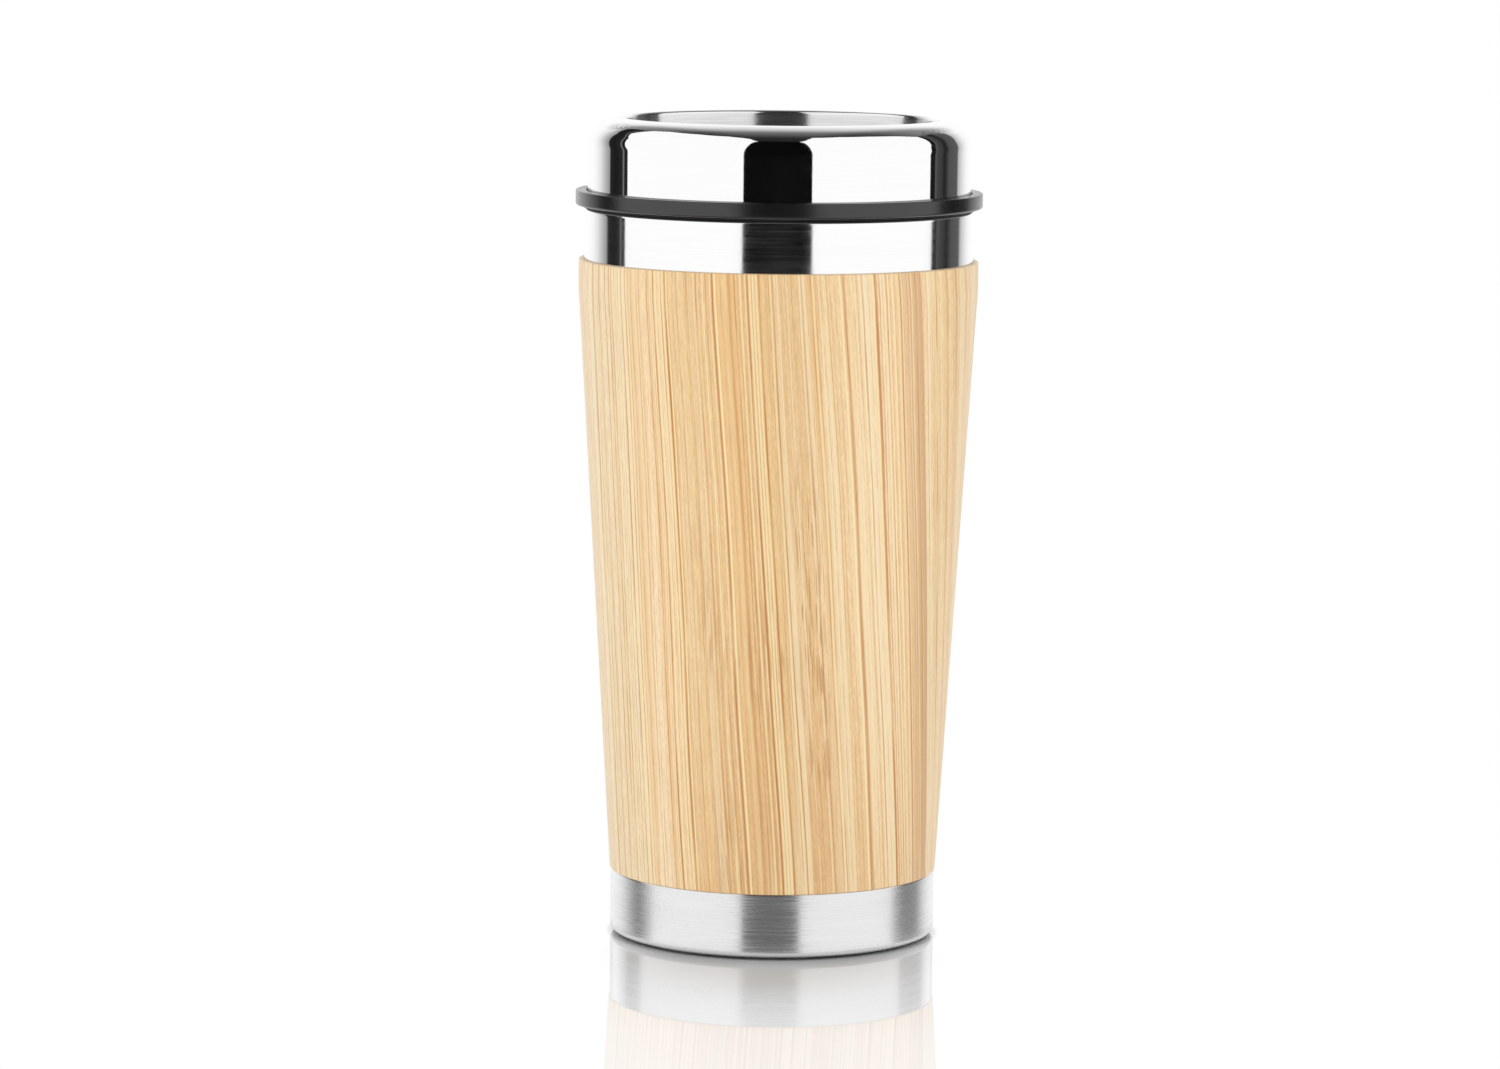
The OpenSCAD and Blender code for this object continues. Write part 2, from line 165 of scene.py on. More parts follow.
def tree_of(*values):
    return next(value.tree for value in values if isinstance(value, Field))


def calculate(operation, *values):
    return add(tree_of(*values), "ShaderNodeMath", dict(enumerate(values)), operation=operation)


def fade(value, start, end, low=0.0, high=1.0):
    """A smooth step from low to high while value goes from start to end."""
    return add(tree_of(value), "ShaderNodeMapRange", {
        "Value": value, "From Min": start, "From Max": end, "To Min": low, "To Max": high
    }, interpolation_type="SMOOTHSTEP")


def fall(value, start, end):
    """A smooth step down from 1 to 0."""
    return fade(value, start, end, 1.0, 0.0)


def vector_of(x, y, z):
    return add(tree_of(x, y, z), "ShaderNodeCombineXYZ", {"X": x, "Y": y, "Z": z})


def split(vector):
    parts = add(vector.tree, "ShaderNodeSeparateXYZ", {"Vector": vector})
    return parts["X"], parts["Y"], parts["Z"]


def length_of(vector):
    return add(vector.tree, "ShaderNodeVectorMath", {0: vector}, operation="LENGTH")["Value"]


def noise(place, detail=2.0, roughness=0.5, scale=1.0):
    return add(place.tree, "ShaderNodeTexNoise", {
        "Vector": place, "Scale": scale, "Detail": detail, "Roughness": roughness
    })


def blend(amount, first, second, way="MIX"):
    return add(tree_of(amount, first, second), "ShaderNodeMix", {0: amount, 6: first, 7: second},
               data_type="RGBA", blend_type=way)[2]


def ramp(value, stops):
    node = value.tree.nodes.new("ShaderNodeValToRGB")
    feed(node.inputs["Fac"], value)
    stages = node.color_ramp.elements
    while len(stages) < len(stops):
        stages.new(0.5)
    for stage, (place, colour) in zip(stages, stops):
        stage.position, stage.color = place, colour
    return Field(value.tree, node)


def srgb(red, green, blue):
    """A colour read in 0-255 steps, as the shader's linear colour."""
    def linear(step):
        part = step / 255
        return part / 12.92 if part <= 0.04045 else ((part + 0.055) / 1.055) ** 2.4
    return (linear(red), linear(green), linear(blue), 1)


def grey(value, blue=None):
    return (value, value, value if blue is None else blue, 1)


def node_group(kind, inputs, *outputs, output_type="Float"):
    """Makes the function below it into a node group of that name. Each input has a default number, or else the
    name of its socket's type. The function is given the group's inputs and gives its outputs."""
    def build(filled):
        tree = bpy.data.node_groups.new(filled.__name__, kind)
        for label, value in inputs.items():
            number_type = {int: "Int", float: "Float"}.get(type(value))
            socket_type = "NodeSocket" + (number_type or value)
            socket = tree.interface.new_socket(label, in_out="INPUT", socket_type=socket_type)
            if number_type:
                socket.default_value = value
        for label in outputs:
            tree.interface.new_socket(label, in_out="OUTPUT", socket_type="NodeSocket" + output_type)
        add(tree, "NodeGroupOutput", dict(zip(outputs, filled(add(tree, "NodeGroupInput")))))
        return tree
    return build


def placed(group, **inputs):
    """One use of a shader group in a material; underscores in names stand for spaces."""
    inputs = {name.replace("_", " "): value for name, value in inputs.items()}
    return add(tree_of(*inputs.values()), "ShaderNodeGroup", inputs, node_tree=group)


# ---------------- Effects that several materials share

@node_group("ShaderNodeTree", {"Place": "Vector", "Line Pitch": 0.25 * MM, "Line Run": 0.2}, "Lines", "Bands")
def turning_lines(given):
    """Fine lines that run round the axis, as a lathe tool or a brushing belt leaves them."""
    x, y, z = split(given["Place"])
    radius = calculate("SQRT", x * x + y * y)
    safe_radius = calculate("MAXIMUM", radius, 0.1 * MM)
    run = 1.0 / given["Line Run"]
    across = (z + radius) / given["Line Pitch"]
    round_x, round_y = x / safe_radius * run, y / safe_radius * run
    lines = noise(vector_of(round_x, round_y, across), 2.0, 0.6)
    return lines, noise(vector_of(round_x * 0.3, round_y * 0.3, across * 0.08), 1.0, 0.5)


@node_group("ShaderNodeTree", {
    "Place": "Vector", "Smear Size": 14 * MM, "Scratch Pitch": 3 * MM
}, "Smears", "Scratches")
def handling_marks(given):
    """Cloudy smears and a few hair scratches, from wiping and handling."""
    cloud = add(given.tree, "ShaderNodeTexNoise", {
        "Vector": given["Place"], "Scale": 1.0 / given["Smear Size"], "Detail": 3.0, "Roughness": 0.55,
        "Distortion": 0.6
    })
    turned_place = add(given.tree, "ShaderNodeMapping", {
        "Vector": given["Place"], "Rotation": (0.5, 0.3, 0.9), "Scale": (1, 0.06, 1)
    })
    cells = add(given.tree, "ShaderNodeTexVoronoi", {
        "Vector": turned_place, "Scale": 1.0 / given["Scratch Pitch"]
    }, feature="DISTANCE_TO_EDGE")
    return fade(cloud, 0.35, 0.7), fall(cells["Distance"], 0.0, 0.012)


@node_group("ShaderNodeTree", {"Place": "Vector", "Grain Size": 0.25 * MM}, "Grain", "Flow")
def moulded_grain(given):
    """The fine spark-eroded grain of a moulding tool, with slow changes in its depth."""
    return noise(given["Place"], 2.0, 0.6, 1.0 / given["Grain Size"]), noise(given["Place"], 2.0, 0.5, 70.0)


@node_group("ShaderNodeTree", {
    "Place": "Vector", "Taper": 0.06, "Tip Height": -0.57, "Middle Run": 0.65, "Grain Tilt": 0.07
}, "Across", "Along")
def rolled_sheet(given):
    """Unrolls the cone: millimetres across and along the grain of the flat sheet that made the sleeve."""
    x, y, z = split(given["Place"])
    tilt, middle, in_mm = given["Grain Tilt"], given["Middle Run"], 1000.0
    run = z - given["Tip Height"]
    # Turned by the grain's tilt about the apex, so that the grain is straight in the flat sheet
    lean = calculate("ARCTAN2", x, y * -1.0) * given["Taper"] + tilt
    return [(run * calculate(way, lean) - middle * calculate(way, tilt)) * in_mm for way in ("SINE", "COSINE")]


@node_group("ShaderNodeTree", {
    "Across": 0.0, "Along": 0.0, "Pitch": 2.0, "Half Width": 0.2, "Run": 30.0, "Seed": 0.0
}, "Dark", "Pale")
def vessel_lines(given):
    """Thin lines along the grain, unevenly spaced, each with its own strength and a pale line at its side."""
    pitch, half = given["Pitch"], given["Half Width"]
    place = given["Across"] / pitch + given["Seed"]
    cells = add(given.tree, "ShaderNodeTexVoronoi", {"W": place, "Scale": 1.0}, voronoi_dimensions="1D")
    aside = (place - cells["W"]) * pitch
    chance = add(given.tree, "ShaderNodeSeparateColor", {"Color": cells["Color"]})
    wander = noise(vector_of(cells["W"] * 7.3, given["Along"] / given["Run"], given["Seed"]), 1.0)
    strength = fade(chance["Red"], 0.0, 1.0, 0.2, 1.0) * fade(wander, 0.36, 0.6, 0.3, 1.0)
    core = half * 0.4
    beside = half * fade(chance["Green"], 0.49, 0.51, -1.9, 1.9)
    pale = fall(abs(aside - beside), core, half * 1.3)
    return fall(abs(aside), core, half) * strength, pale * fade(chance["Blue"], 0.2, 0.9)


# ---------------- Materials

finishes = {}


def new_material(name, **settings):
    """Starts a finish: gives its shader's inputs, and the place on the object that its patterns read."""
    finishes[name] = material = bpy.data.materials.new(name)
    material.use_nodes = True
    shader = material.node_tree.nodes["Principled BSDF"].inputs
    for label, value in settings.items():
        shader[label.replace("_", " ")].default_value = value
    return shader, add(material.node_tree, "ShaderNodeTexCoord")["Object"]


def coat(shader, colour, rough, relief, depth):
    """Gives a finish its colour, its roughness and the relief of its surface."""
    feed(shader["Base Color"], colour)
    feed(shader["Roughness"], rough)
    feed(shader["Normal"], add(relief.tree, "ShaderNodeBump", {"Height": relief, "Distance": depth}))


def steel(name, tone, tone_change, pitch, run, gloss, dull, depth, stretch=0.0, satin_inside=0.0,
          metal=1.0, cut=(0.3, 0.7)):
    """Stainless sheet. Lines round the axis carry its tone, its gloss and its relief. Stretch draws reflections
    out upright. Gloss turns to dull over the stretch of the line pattern that cut gives. Nearer the axis than
    satin_inside the sheet is satin."""
    shader, place = new_material(name, Metallic=metal, Anisotropic=stretch, Anisotropic_Rotation=0.25)
    lines = placed(turning_lines, Place=place, Line_Pitch=pitch, Line_Run=run)
    smears = placed(handling_marks, Place=place)["Smears"]
    mixed = lines["Lines"] * 0.7 + lines["Bands"] * 0.3
    dark = tone - tone_change
    colour = blend(fade(mixed, 0.38, 0.62), grey(dark, dark * 1.006), grey(tone, tone * 1.004))
    rough = fade(lines["Lines"], *cut, gloss, dull) + smears * 0.02
    if satin_inside:
        edge, extra_rough, less_metal, darker = 0.4 * MM, 0.11, -0.08, 0.72
        level = add(place.tree, "ShaderNodeVectorMath", {0: place, 1: (1, 1, 0)}, operation="MULTIPLY")
        inside = fall(length_of(level), satin_inside - edge, satin_inside)
        rough = inside * extra_rough + rough
        colour = blend(inside * fade(mixed, 0.36, 0.64, 1.0, 0.55), colour, grey(tone * darker))
        feed(shader["Metallic"], inside * less_metal + 1.0)
    coat(shader, colour, rough, lines["Lines"], depth)
    if stretch:
        feed(shader["Tangent"], add(place.tree, "ShaderNodeTangent", direction_type="RADIAL", axis="Z"))


def plastic(name, colour, worn, grain_size, gloss, dull, depth):
    """Moulded polypropylene with tool grain and faintly polished high spots."""
    shader, place = new_material(name, IOR=1.5, Specular_IOR_Level=0.85)
    grain = placed(moulded_grain, Place=place, Grain_Size=grain_size)
    marks = placed(handling_marks, Place=place)
    amount = grain["Flow"] * 0.5 + grain["Grain"] * 0.5
    rough = fade(grain["Grain"], 0.3, 0.7, gloss, dull) - marks["Smears"] * 0.05
    relief = grain["Grain"] - marks["Scratches"] * 0.3
    coat(shader, blend(fade(amount, 0.35, 0.7), colour, worn), rough, relief, depth)


def rubber(name, colour, worn, rough, milky=0.0):
    """Silicone or rubber: dull, with a slow change of tone and dust in its pores."""
    shader, place = new_material(name, IOR=1.43, Subsurface_Weight=milky, Subsurface_Scale=1.5 * MM)
    grain = placed(moulded_grain, Place=place, Grain_Size=0.4 * MM)
    marks = placed(handling_marks, Place=place, Smear_Size=6 * MM)
    mixed = grain["Flow"] * 0.6 + marks["Smears"] * 0.3
    rough = fade(grain["Grain"], 0.3, 0.7, rough - 0.08, rough + 0.08)
    coat(shader, blend(fade(mixed, 0.3, 0.7), colour, worn), rough, grain["Grain"], 0.015 * MM)


# The sheet's laminated strips, as millimetres across the grain from the middle of the front, and tones
STRIPS_HALF_W = 136.0
STRIPS = [
    (-136, (242, 214, 166)), (-118.2, (241, 210, 160)), (-117.8, (246, 222, 180)), (-101, (245, 219, 176)),
    (-100.6, (238, 204, 153)), (-83, (239, 206, 156)), (-64, (244, 215, 170)), (-61, (251, 232, 196)),
    (-50, (252, 231, 193)), (-43, (253, 231, 192)), (-35, (255, 235, 197)), (-28.5, (254, 230, 192)),
    (-23, (250, 221, 177)), (-18, (243, 210, 160)), (-13, (240, 205, 153)), (-9, (241, 204, 149)),
    (-4.5, (241, 203, 150)), (0, (241, 206, 153)), (4, (239, 203, 151)), (8.5, (239, 203, 152)),
    (13, (244, 212, 163)), (17.5, (247, 218, 173)), (22.5, (247, 219, 176)), (28, (246, 214, 171)),
    (33, (244, 210, 164)), (44, (250, 224, 178)), (50, (246, 215, 168)), (64, (246, 219, 177)),
    (85, (240, 207, 156)), (108, (245, 219, 175))
]
GLUE_LINE = 37.1
# The clearest lines on the front: place, half width, strength, and the side on which the pale line lies
CLEAR_LINES = [
    (-37.2, 0.3, 0.6, 1), (-31.4, 0.22, 0.4, 1), (-23.7, 0.34, 0.8, 1), (-20.6, 0.34, 0.9, -1),
    (-15.3, 0.5, 0.45, -1), (-9.5, 0.3, 0.9, 1), (-6.0, 0.4, 0.5, -1), (-2.2, 0.3, 1.0, 1),
    (0.2, 0.3, 0.95, -1), (3.0, 0.26, 0.7, -1), (11.4, 0.26, 0.7, 1), (14.8, 0.24, 0.5, -1),
    (18.6, 0.45, 0.45, 1), (25.3, 0.4, 0.9, -1), (31.0, 0.34, 0.75, -1)
]
# Random lines, as pitch, half width, run and seed, then the strength and tone of the pale and the dark line
RANDOM_LINES = [
    (0.75, 0.14, 7.0, 41.0, 0.5, (255, 242, 210), 0.6, (209, 151, 84)),
    (2.1, 0.2, 20.0, 97.0, 0.65, (255, 235, 190), 0.75, (201, 137, 62)),
    (6.5, 0.25, 45.0, 23.0, 0.75, (255, 232, 174), 0.8, (191, 117, 42)),
]


def bamboo():
    """Laminated strips in one lacquered sheet, with long vessel lines that have a bright line beside them."""
    shader, place = new_material(
        "bamboo", IOR=1.5, Specular_IOR_Level=0.35, Coat_Weight=0.4, Coat_Roughness=0.3)
    taper = math.atan((sleeve_r - SLEEVE_FOOT_R) / (sleeve_band_z - sleeve_low))
    tip = sleeve_low - SLEEVE_FOOT_R / math.tan(taper)
    sheet = placed(rolled_sheet, Place=place, Taper=math.sin(taper), Tip_Height=tip,
                   Middle_Run=(sleeve_low + sleeve_top) / 2 - tip, Grain_Tilt=0.07)
    across, along, height = sheet["Across"], sheet["Along"], split(place)[2]

    # The fibres aren't quite straight: they drift sideways by up to a millimetre
    drift = noise(vector_of(across / 18.0, along / 90.0, 3.0), 1.0)
    fibre_place = across + (drift - 0.5) * 2.0

    def grain(pitch, run, seed, detail=0.0, roughness=0.5):
        """Noise drawn out along the grain: pitch and run are in millimetres."""
        return noise(vector_of(fibre_place / pitch, along / run, seed), detail, roughness)

    def stain(base, mask, strength, *tone):
        return blend(mask * strength, base, srgb(*tone))

    base = ramp((across + STRIPS_HALF_W) / (2 * STRIPS_HALF_W), [
        ((at + STRIPS_HALF_W) / (2 * STRIPS_HALF_W), srgb(*tone)) for at, tone in STRIPS])

    # Painted shade: the sheet is darker towards its lower end, most of all in the middle of the front
    lower = fall(height, sleeve_low, sleeve_low + 75 * MM)
    base = stain(base, lower, fade(abs(across), 8.0, 30.0, 0.42, 0.02), 218, 168, 110)

    # Soft fibre tone, fine and then broad
    speck = fade(grain(0.3, 1.3, 71.5, 1.0), 0.3, 0.7, 0.94, 1.06)
    base = blend(1.0, base, vector_of(speck, speck * 0.975, speck * 0.935), "MULTIPLY")
    fibre = grain(0.26, 6.0, 1.5, 2.0, 0.65)
    base = stain(base, fade(fibre, 0.45, 0.72), 0.42, 224, 178, 116)
    base = stain(base, fade(grain(2.4, 140.0, 5.5), 0.52, 0.75), 0.5, 253, 234, 194)
    base = stain(base, fade(grain(2.8, 170.0, 9.5), 0.55, 0.72), 0.45, 238, 188, 122)

    # A darker, redder strip that ends at a glue line
    from_glue = GLUE_LINE - across
    red_strip = fade(from_glue, -0.08, 0.08) * fall(from_glue, 1.5, 7.0)
    base = stain(base, red_strip, 0.85, 219, 176, 130)

    # Vessel lines: hairs, finer lines and long lines. All the pale ones lie under the dark ones
    random_lines = [
        placed(vessel_lines, Across=fibre_place, Along=along, Pitch=pitch, Half_Width=half, Run=run, Seed=seed)
        for pitch, half, run, seed, *_ in RANDOM_LINES
    ]
    for kind, strength_at in (("Pale", 4), ("Dark", 6)):
        for lines, row in zip(random_lines, RANDOM_LINES):
            base = stain(base, lines[kind], row[strength_at], *row[strength_at + 1])

    breaks = fade(grain(0.8, 26.0, 60.5), 0.34, 0.58, 0.4, 1.0)
    drawn = None
    for at, half, strength, side in CLEAR_LINES:
        aside = fibre_place - at
        pale = fall(abs(aside - side * half * 1.8), 0.06, 0.34)
        base = stain(base, pale, 0.8 * strength, 255, 232, 172)
        dark = fall(abs(aside), half * 0.3, half * 0.9) * strength
        drawn = calculate("MAXIMUM", drawn, dark) if drawn else dark
    drawn = drawn * breaks
    base = stain(base, drawn, 0.85, 193, 121, 48)

    # Short dashes crowd together in a few places
    patch = noise(vector_of(across / 14.0, along / 70.0, 31.5), 1.0)
    crowd = fall(abs(across - 7.2), 1.5, 4.0) * fall(abs(along + 11.0), 20.0, 46.0)
    crowd = calculate("MAXIMUM", fade(patch, 0.62, 0.7, 0.0, 0.7), crowd)
    dashes = fade(grain(0.34, 9.0, 40.5), 0.54, 0.64) * crowd
    base = stain(base, dashes, 0.65, 192, 136, 80)

    # The glue line, and the cut edges at the sheet's two ends
    base = stain(base, fall(abs(across - GLUE_LINE), 0.08, 0.3), 0.5, 190, 138, 92)
    from_end = calculate("MINIMUM", height - sleeve_low, sleeve_top - height)
    base = stain(base, fall(from_end, 0.05 * MM, 0.2 * MM), 0.5, 232, 200, 158)

    rough = fade(fibre, 0.3, 0.7, 0.48, 0.56) + placed(handling_marks, Place=place)["Smears"] * -0.04
    furrows = calculate("MAXIMUM", calculate("MAXIMUM", random_lines[2]["Dark"], drawn), dashes)
    coat(shader, base, rough, fibre * 0.3 - furrows, 0.006 * MM)


# Tone and its change, the lines' pitch and run, roughness from gloss to dull, relief and stretch
steel("steel_polished", 0.98, 0.012, 0.35 * MM, 0.5, 0.02, 0.035, 0.0003 * MM,
      satin_inside=recess_mouth_r + 0.3 * MM)
steel("steel_collar", 0.985, 0.02, 0.22 * MM, 0.4, 0.07, 0.115, 0.0004 * MM, 0.5)
steel("steel_brushed", 0.86, 0.07, 0.17 * MM, 0.7, 0.2, 0.34, 0.00025 * MM, 0.8, cut=(0.42, 0.62))
steel("steel_inside", 0.8, 0.05, 0.4 * MM, 0.3, 0.34, 0.42, 0.001 * MM, 0.5, metal=0.78)
bamboo()
# Colour and worn colour, grain size, roughness from gloss to dull, and relief
plastic("lid_black", grey(0.003, 0.004), grey(0.007, 0.008), 0.25 * MM, 0.2, 0.27, 0.004 * MM)
plastic("lid_grey", grey(0.08, 0.085), grey(0.1, 0.105), 0.3 * MM, 0.4, 0.52, 0.012 * MM)
plastic("slider_black", grey(0.02, 0.022), grey(0.03, 0.033), 0.35 * MM, 0.2, 0.3, 0.006 * MM)
# Colour and worn colour, roughness, and how milky it is
rubber("silicone_black", grey(0.002), grey(0.006), 0.6)
rubber("silicone_clear", grey(0.6, 0.58), grey(0.68, 0.66), 0.4, 0.5)
rubber("foot_rubber", grey(0.035, 0.036), grey(0.07), 0.7)


# ---------------- Geometry trees

CREASE = 0.6  # radians between two faces, above which the edge of a turned piece stays sharp
WELD = 0.0005 * MM  # points of a turned piece that lie nearer than this become one
CUT_WELD = 0.0002 * MM  # the same for a moulded piece, after its cuts


def passed(geometry, kind, inputs=None, **settings):
    """The geometry as it comes out of one more node."""
    return add(geometry.tree, kind, {0: geometry, **(inputs or {})}, **settings)


@node_group("GeometryNodeTree", {
    "Profile": "Geometry", "Rows": 2, "Steps": 360, "Start": 0.0, "Sweep": math.tau, "Finish": "Material"
}, "Turned", output_type="Geometry")
def turn_on_lathe(given):
    """Carries a closed profile in the XZ plane round the Z axis and welds the seams and the poles."""
    grid = add(given.tree, "GeometryNodeMeshGrid", {
        "Size X": 1.0, "Size Y": 1.0, "Vertices X": given["Rows"], "Vertices Y": given["Steps"] + 1.0
    })
    position = add(given.tree, "GeometryNodeInputPosition")
    grid_x, grid_y, _ = split(position)
    count = add(given.tree, "GeometryNodeAttributeDomainSize", {"Geometry": given["Profile"]})
    row = calculate("ROUND", (grid_x + 0.5) * (given["Rows"] - 1.0))
    point = add(given.tree, "GeometryNodeSampleIndex", {
        "Geometry": given["Profile"], "Value": position, "Index": calculate("MODULO", row, count)
    }, data_type="FLOAT_VECTOR")
    turn = (grid_y + 0.5) * given["Sweep"] + given["Start"]
    carried = add(given.tree, "ShaderNodeVectorRotate", {
        "Vector": point, "Angle": turn
    }, rotation_type="Z_AXIS")
    angle = add(given.tree, "GeometryNodeInputMeshEdgeAngle")
    shape = passed(grid, "GeometryNodeSetPosition", {"Position": carried})
    shape = passed(shape, "GeometryNodeMergeByDistance", {"Distance": WELD})
    shape = passed(shape, "GeometryNodeSetShadeSmooth", {"Shade Smooth": True}, domain="FACE")
    shape = passed(shape, "GeometryNodeSetShadeSmooth", {
        "Selection": calculate("GREATER_THAN", angle, CREASE), "Shade Smooth": False
    }, domain="EDGE")
    shape = passed(shape, "GeometryNodeSetMaterial", {"Material": given["Finish"]})
    return [passed(shape, "GeometryNodeRealizeInstances")]


@node_group("GeometryNodeTree", {
    "Rib": "Geometry", "Count": 4, "Start": "Vector", "End": "Vector", "Finish": "Material"
}, "Ribs", output_type="Geometry")
def rows_of_ribs(given):
    """Sets copies of one rib along a straight line, from Start to End."""
    line = add(given.tree, "GeometryNodeMeshLine", {
        "Count": given["Count"], "Start Location": given["Start"], "Offset": given["End"]
    }, mode="END_POINTS")
    shape = passed(line, "GeometryNodeInstanceOnPoints", {"Instance": given["Rib"]})
    shape = passed(shape, "GeometryNodeRealizeInstances")
    return [passed(shape, "GeometryNodeSetMaterial", {"Material": given["Finish"]})]


def object_of(name, data):
    thing = bpy.data.objects.new(name, data)
    SCENE.collection.objects.link(thing)
    return thing


def as_it_stands(thing, name):
    """A plain mesh of what the object's modifiers make of it."""
    bpy.context.view_layer.update()
    made = bpy.data.meshes.new_from_object(thing.evaluated_get(bpy.context.evaluated_depsgraph_get()))
    made.name = name
    return made


def through_tree(name, seed_mesh, tree, **inputs):
    """Runs a mesh through a geometry tree and keeps the result as a plain mesh."""
    seed = object_of(name + "_seed", seed_mesh)
    modifier = seed.modifiers.new("shape", "NODES")
    modifier.node_group = tree
    sockets = {item.name: item.identifier for item in tree.interface.items_tree if item.in_out == "INPUT"}
    for label, value in inputs.items():
        modifier[sockets[label]] = value
    made = as_it_stands(seed, name)
    bpy.data.objects.remove(seed)
    return object_of(name, made)


# ---------------- Profiles and turned pieces

def bend(r, z, radius, start, end, steps):
    """Points on a round stretch of a profile or a plan, from one angle in degrees to another."""
    angles = [math.radians(start + (end - start) * i / steps) for i in range(steps + 1)]
    return [(r + radius * math.cos(angle), z + radius * math.sin(angle)) for angle in angles]


def low_corner(r, z, radius, steps):
    """A profile's lower outer corner, rounded, from below to the side. Unrounded it would lie at r and z."""
    return bend(r - radius, z + radius, radius, -90, 0, steps)


def high_corner(r, z, radius, steps):
    """A profile's upper outer corner, rounded, from the side to the top."""
    return bend(r - radius, z - radius, radius, 0, 90, steps)


def guarded(points, guard=0.2 * MM):
    """Adds a point close to both ends of each long straight, so that bends don't pull its reflections round."""
    out = []
    for here, there in zip(points, points[1:] + points[:1]):
        out.append(here)
        length = math.dist(here, there)
        if length > 4 * guard:
            for part in (guard / length, 1 - guard / length):
                out.append((here[0] + (there[0] - here[0]) * part, here[1] + (there[1] - here[1]) * part))
    return out


def area_of(points):
    return sum(a[0] * b[1] - b[0] * a[1] for a, b in zip(points, points[1:] + points[:1])) / 2


def turned(name, profile, finish, steps=360, gap=0.0):
    """A turned piece. A gap, given as a width at the back, leaves the ring open there, with closed ends."""
    if area_of(profile) > 0:
        profile = profile[::-1]
    near_axis = 0.001 * MM
    on_axis = min(r for r, z in profile) < near_axis
    if on_axis:
        lead = next(i for i, (r, z) in enumerate(profile) if r < near_axis and profile[i - 1][0] < near_axis)
        profile = profile[lead:] + profile[:lead]
    points = [p for p in guarded(profile) if p[0] >= near_axis or p in (profile[0], profile[-1])]
    line = bpy.data.meshes.new(name + "_profile")
    line.from_pydata([(r, 0, z) for r, z in points], [(i, i + 1) for i in range(len(points) - 1)], [])
    half_gap = math.asin(gap / 2 / max(r for r, z in points))
    piece = through_tree(
        name, line, turn_on_lathe, Rows=len(points) + (0 if on_axis else 1), Steps=steps,
        Start=math.pi / 2 + half_gap, Sweep=math.tau - 2 * half_gap, Finish=finishes[finish]
    )
    if gap:
        with_mesh(piece, lambda work: bmesh.ops.edgeloop_fill(
            work, edges=[edge for edge in work.edges if edge.is_boundary]))
    return piece


def with_mesh(piece, change):
    """Edits a piece's mesh in place."""
    work = bmesh.new()
    work.from_mesh(piece.data)
    change(work)
    work.to_mesh(piece.data)
    work.free()


def make_foot_pad():
    groove_w, groove_depth, lip, grooves = 1.4 * MM, 0.5 * MM, 0.25 * MM, 3
    profile = [(0, pad_top), (0, pad_low)]
    for i in range(1, grooves + 1):
        inner = i * pad_r / (grooves + 1)
        outer = inner + groove_w
        profile += [*low_corner(inner, pad_low, lip, 4), (inner, pad_low + groove_depth),
                    (outer, pad_low + groove_depth), *bend(outer + lip, pad_low + lip, lip, 180, 270, 4)]
    profile += low_corner(pad_r, pad_low, lip, 4) + high_corner(pad_r, pad_top, lip, 4)
    return turned("foot_pad_grooved", profile, "foot_rubber", 180)


def make_base_cup():
    sheet, step_r, lip = BASE_SHEET, pad_r + FIT_GAP, 0.18 * MM
    return turned("base_cup_brushed", [
        (0, pad_top), (step_r, pad_top), (step_r, base_low),
        *low_corner(base_r, base_low, BASE_EDGE_R, 16), *high_corner(base_r, base_top, lip, 5),
        (base_r - sheet, base_top), *low_corner(base_r - sheet, base_low + sheet, BASE_EDGE_R - sheet, 8)[::-1],
        (step_r + sheet, base_low + sheet), (step_r + sheet, pad_top + sheet), (0, pad_top + sheet)
    ], "steel_brushed")


def make_sleeve():
    sheet, foot_r = SLEEVE_SHEET, SLEEVE_FOOT_R
    return turned("bamboo_rolled_sheet", [
        (foot_r - sheet, sleeve_low), *low_corner(foot_r, sleeve_low, SLEEVE_EDGE_R, 6),
        (sleeve_r, sleeve_band_z), *high_corner(sleeve_r, sleeve_top, SLEEVE_EDGE_R, 6),
        (sleeve_r - sheet, sleeve_top), (sleeve_r - sheet, sleeve_band_z)
    ], "bamboo", gap=SEAM_GAP)


def make_shell():
    sheet, foot_r, weld_r = SHELL_SHEET, SHELL_FOOT_R, neck_out_r + FIT_GAP
    return turned("steel_wall_and_collar", [
        (foot_r, shell_low), (foot_r, sleeve_low), (shell_r, sleeve_band_z),
        *high_corner(shell_r, mouth_z, SHELL_EDGE_R, 16), (weld_r, mouth_z), (weld_r, mouth_z - sheet),
        *high_corner(shell_r - sheet, mouth_z - sheet, SHELL_EDGE_R - sheet, 8)[::-1],
        (shell_r - sheet, sleeve_band_z), (foot_r - sheet, sleeve_low), (foot_r - sheet, shell_low)
    ], "steel_collar")


def make_liner():
    sheet, neck_z, wall_top_r = LINER_SHEET, mouth_z - NECK_H, neck_r - NECK_STEP
    return turned("inner_cup_drawn", [
        (0, liner_low), *low_corner(LINER_FOOT_R + sheet, liner_low, LINER_CORNER_R + sheet, 20),
        (wall_top_r + sheet, neck_z - NECK_STEP), (neck_r + sheet, neck_z), (neck_r + sheet, mouth_z),
        (neck_r, mouth_z), (neck_r, neck_z), (wall_top_r, neck_z - NECK_STEP),
        *low_corner(LINER_FOOT_R, liner_low + sheet, LINER_CORNER_R, 20)[::-1], (0, liner_low + sheet)
    ], "steel_inside")


def make_gasket():
    inner_r, lip = plug_r + 0.15 * MM, 0.2 * MM
    return turned("gasket_ring", [
        (inner_r, gasket_low), *low_corner(gasket_r, gasket_low, lip, 6),
        *high_corner(gasket_r, gasket_top, lip, 6), (inner_r, gasket_top)
    ], "silicone_black")


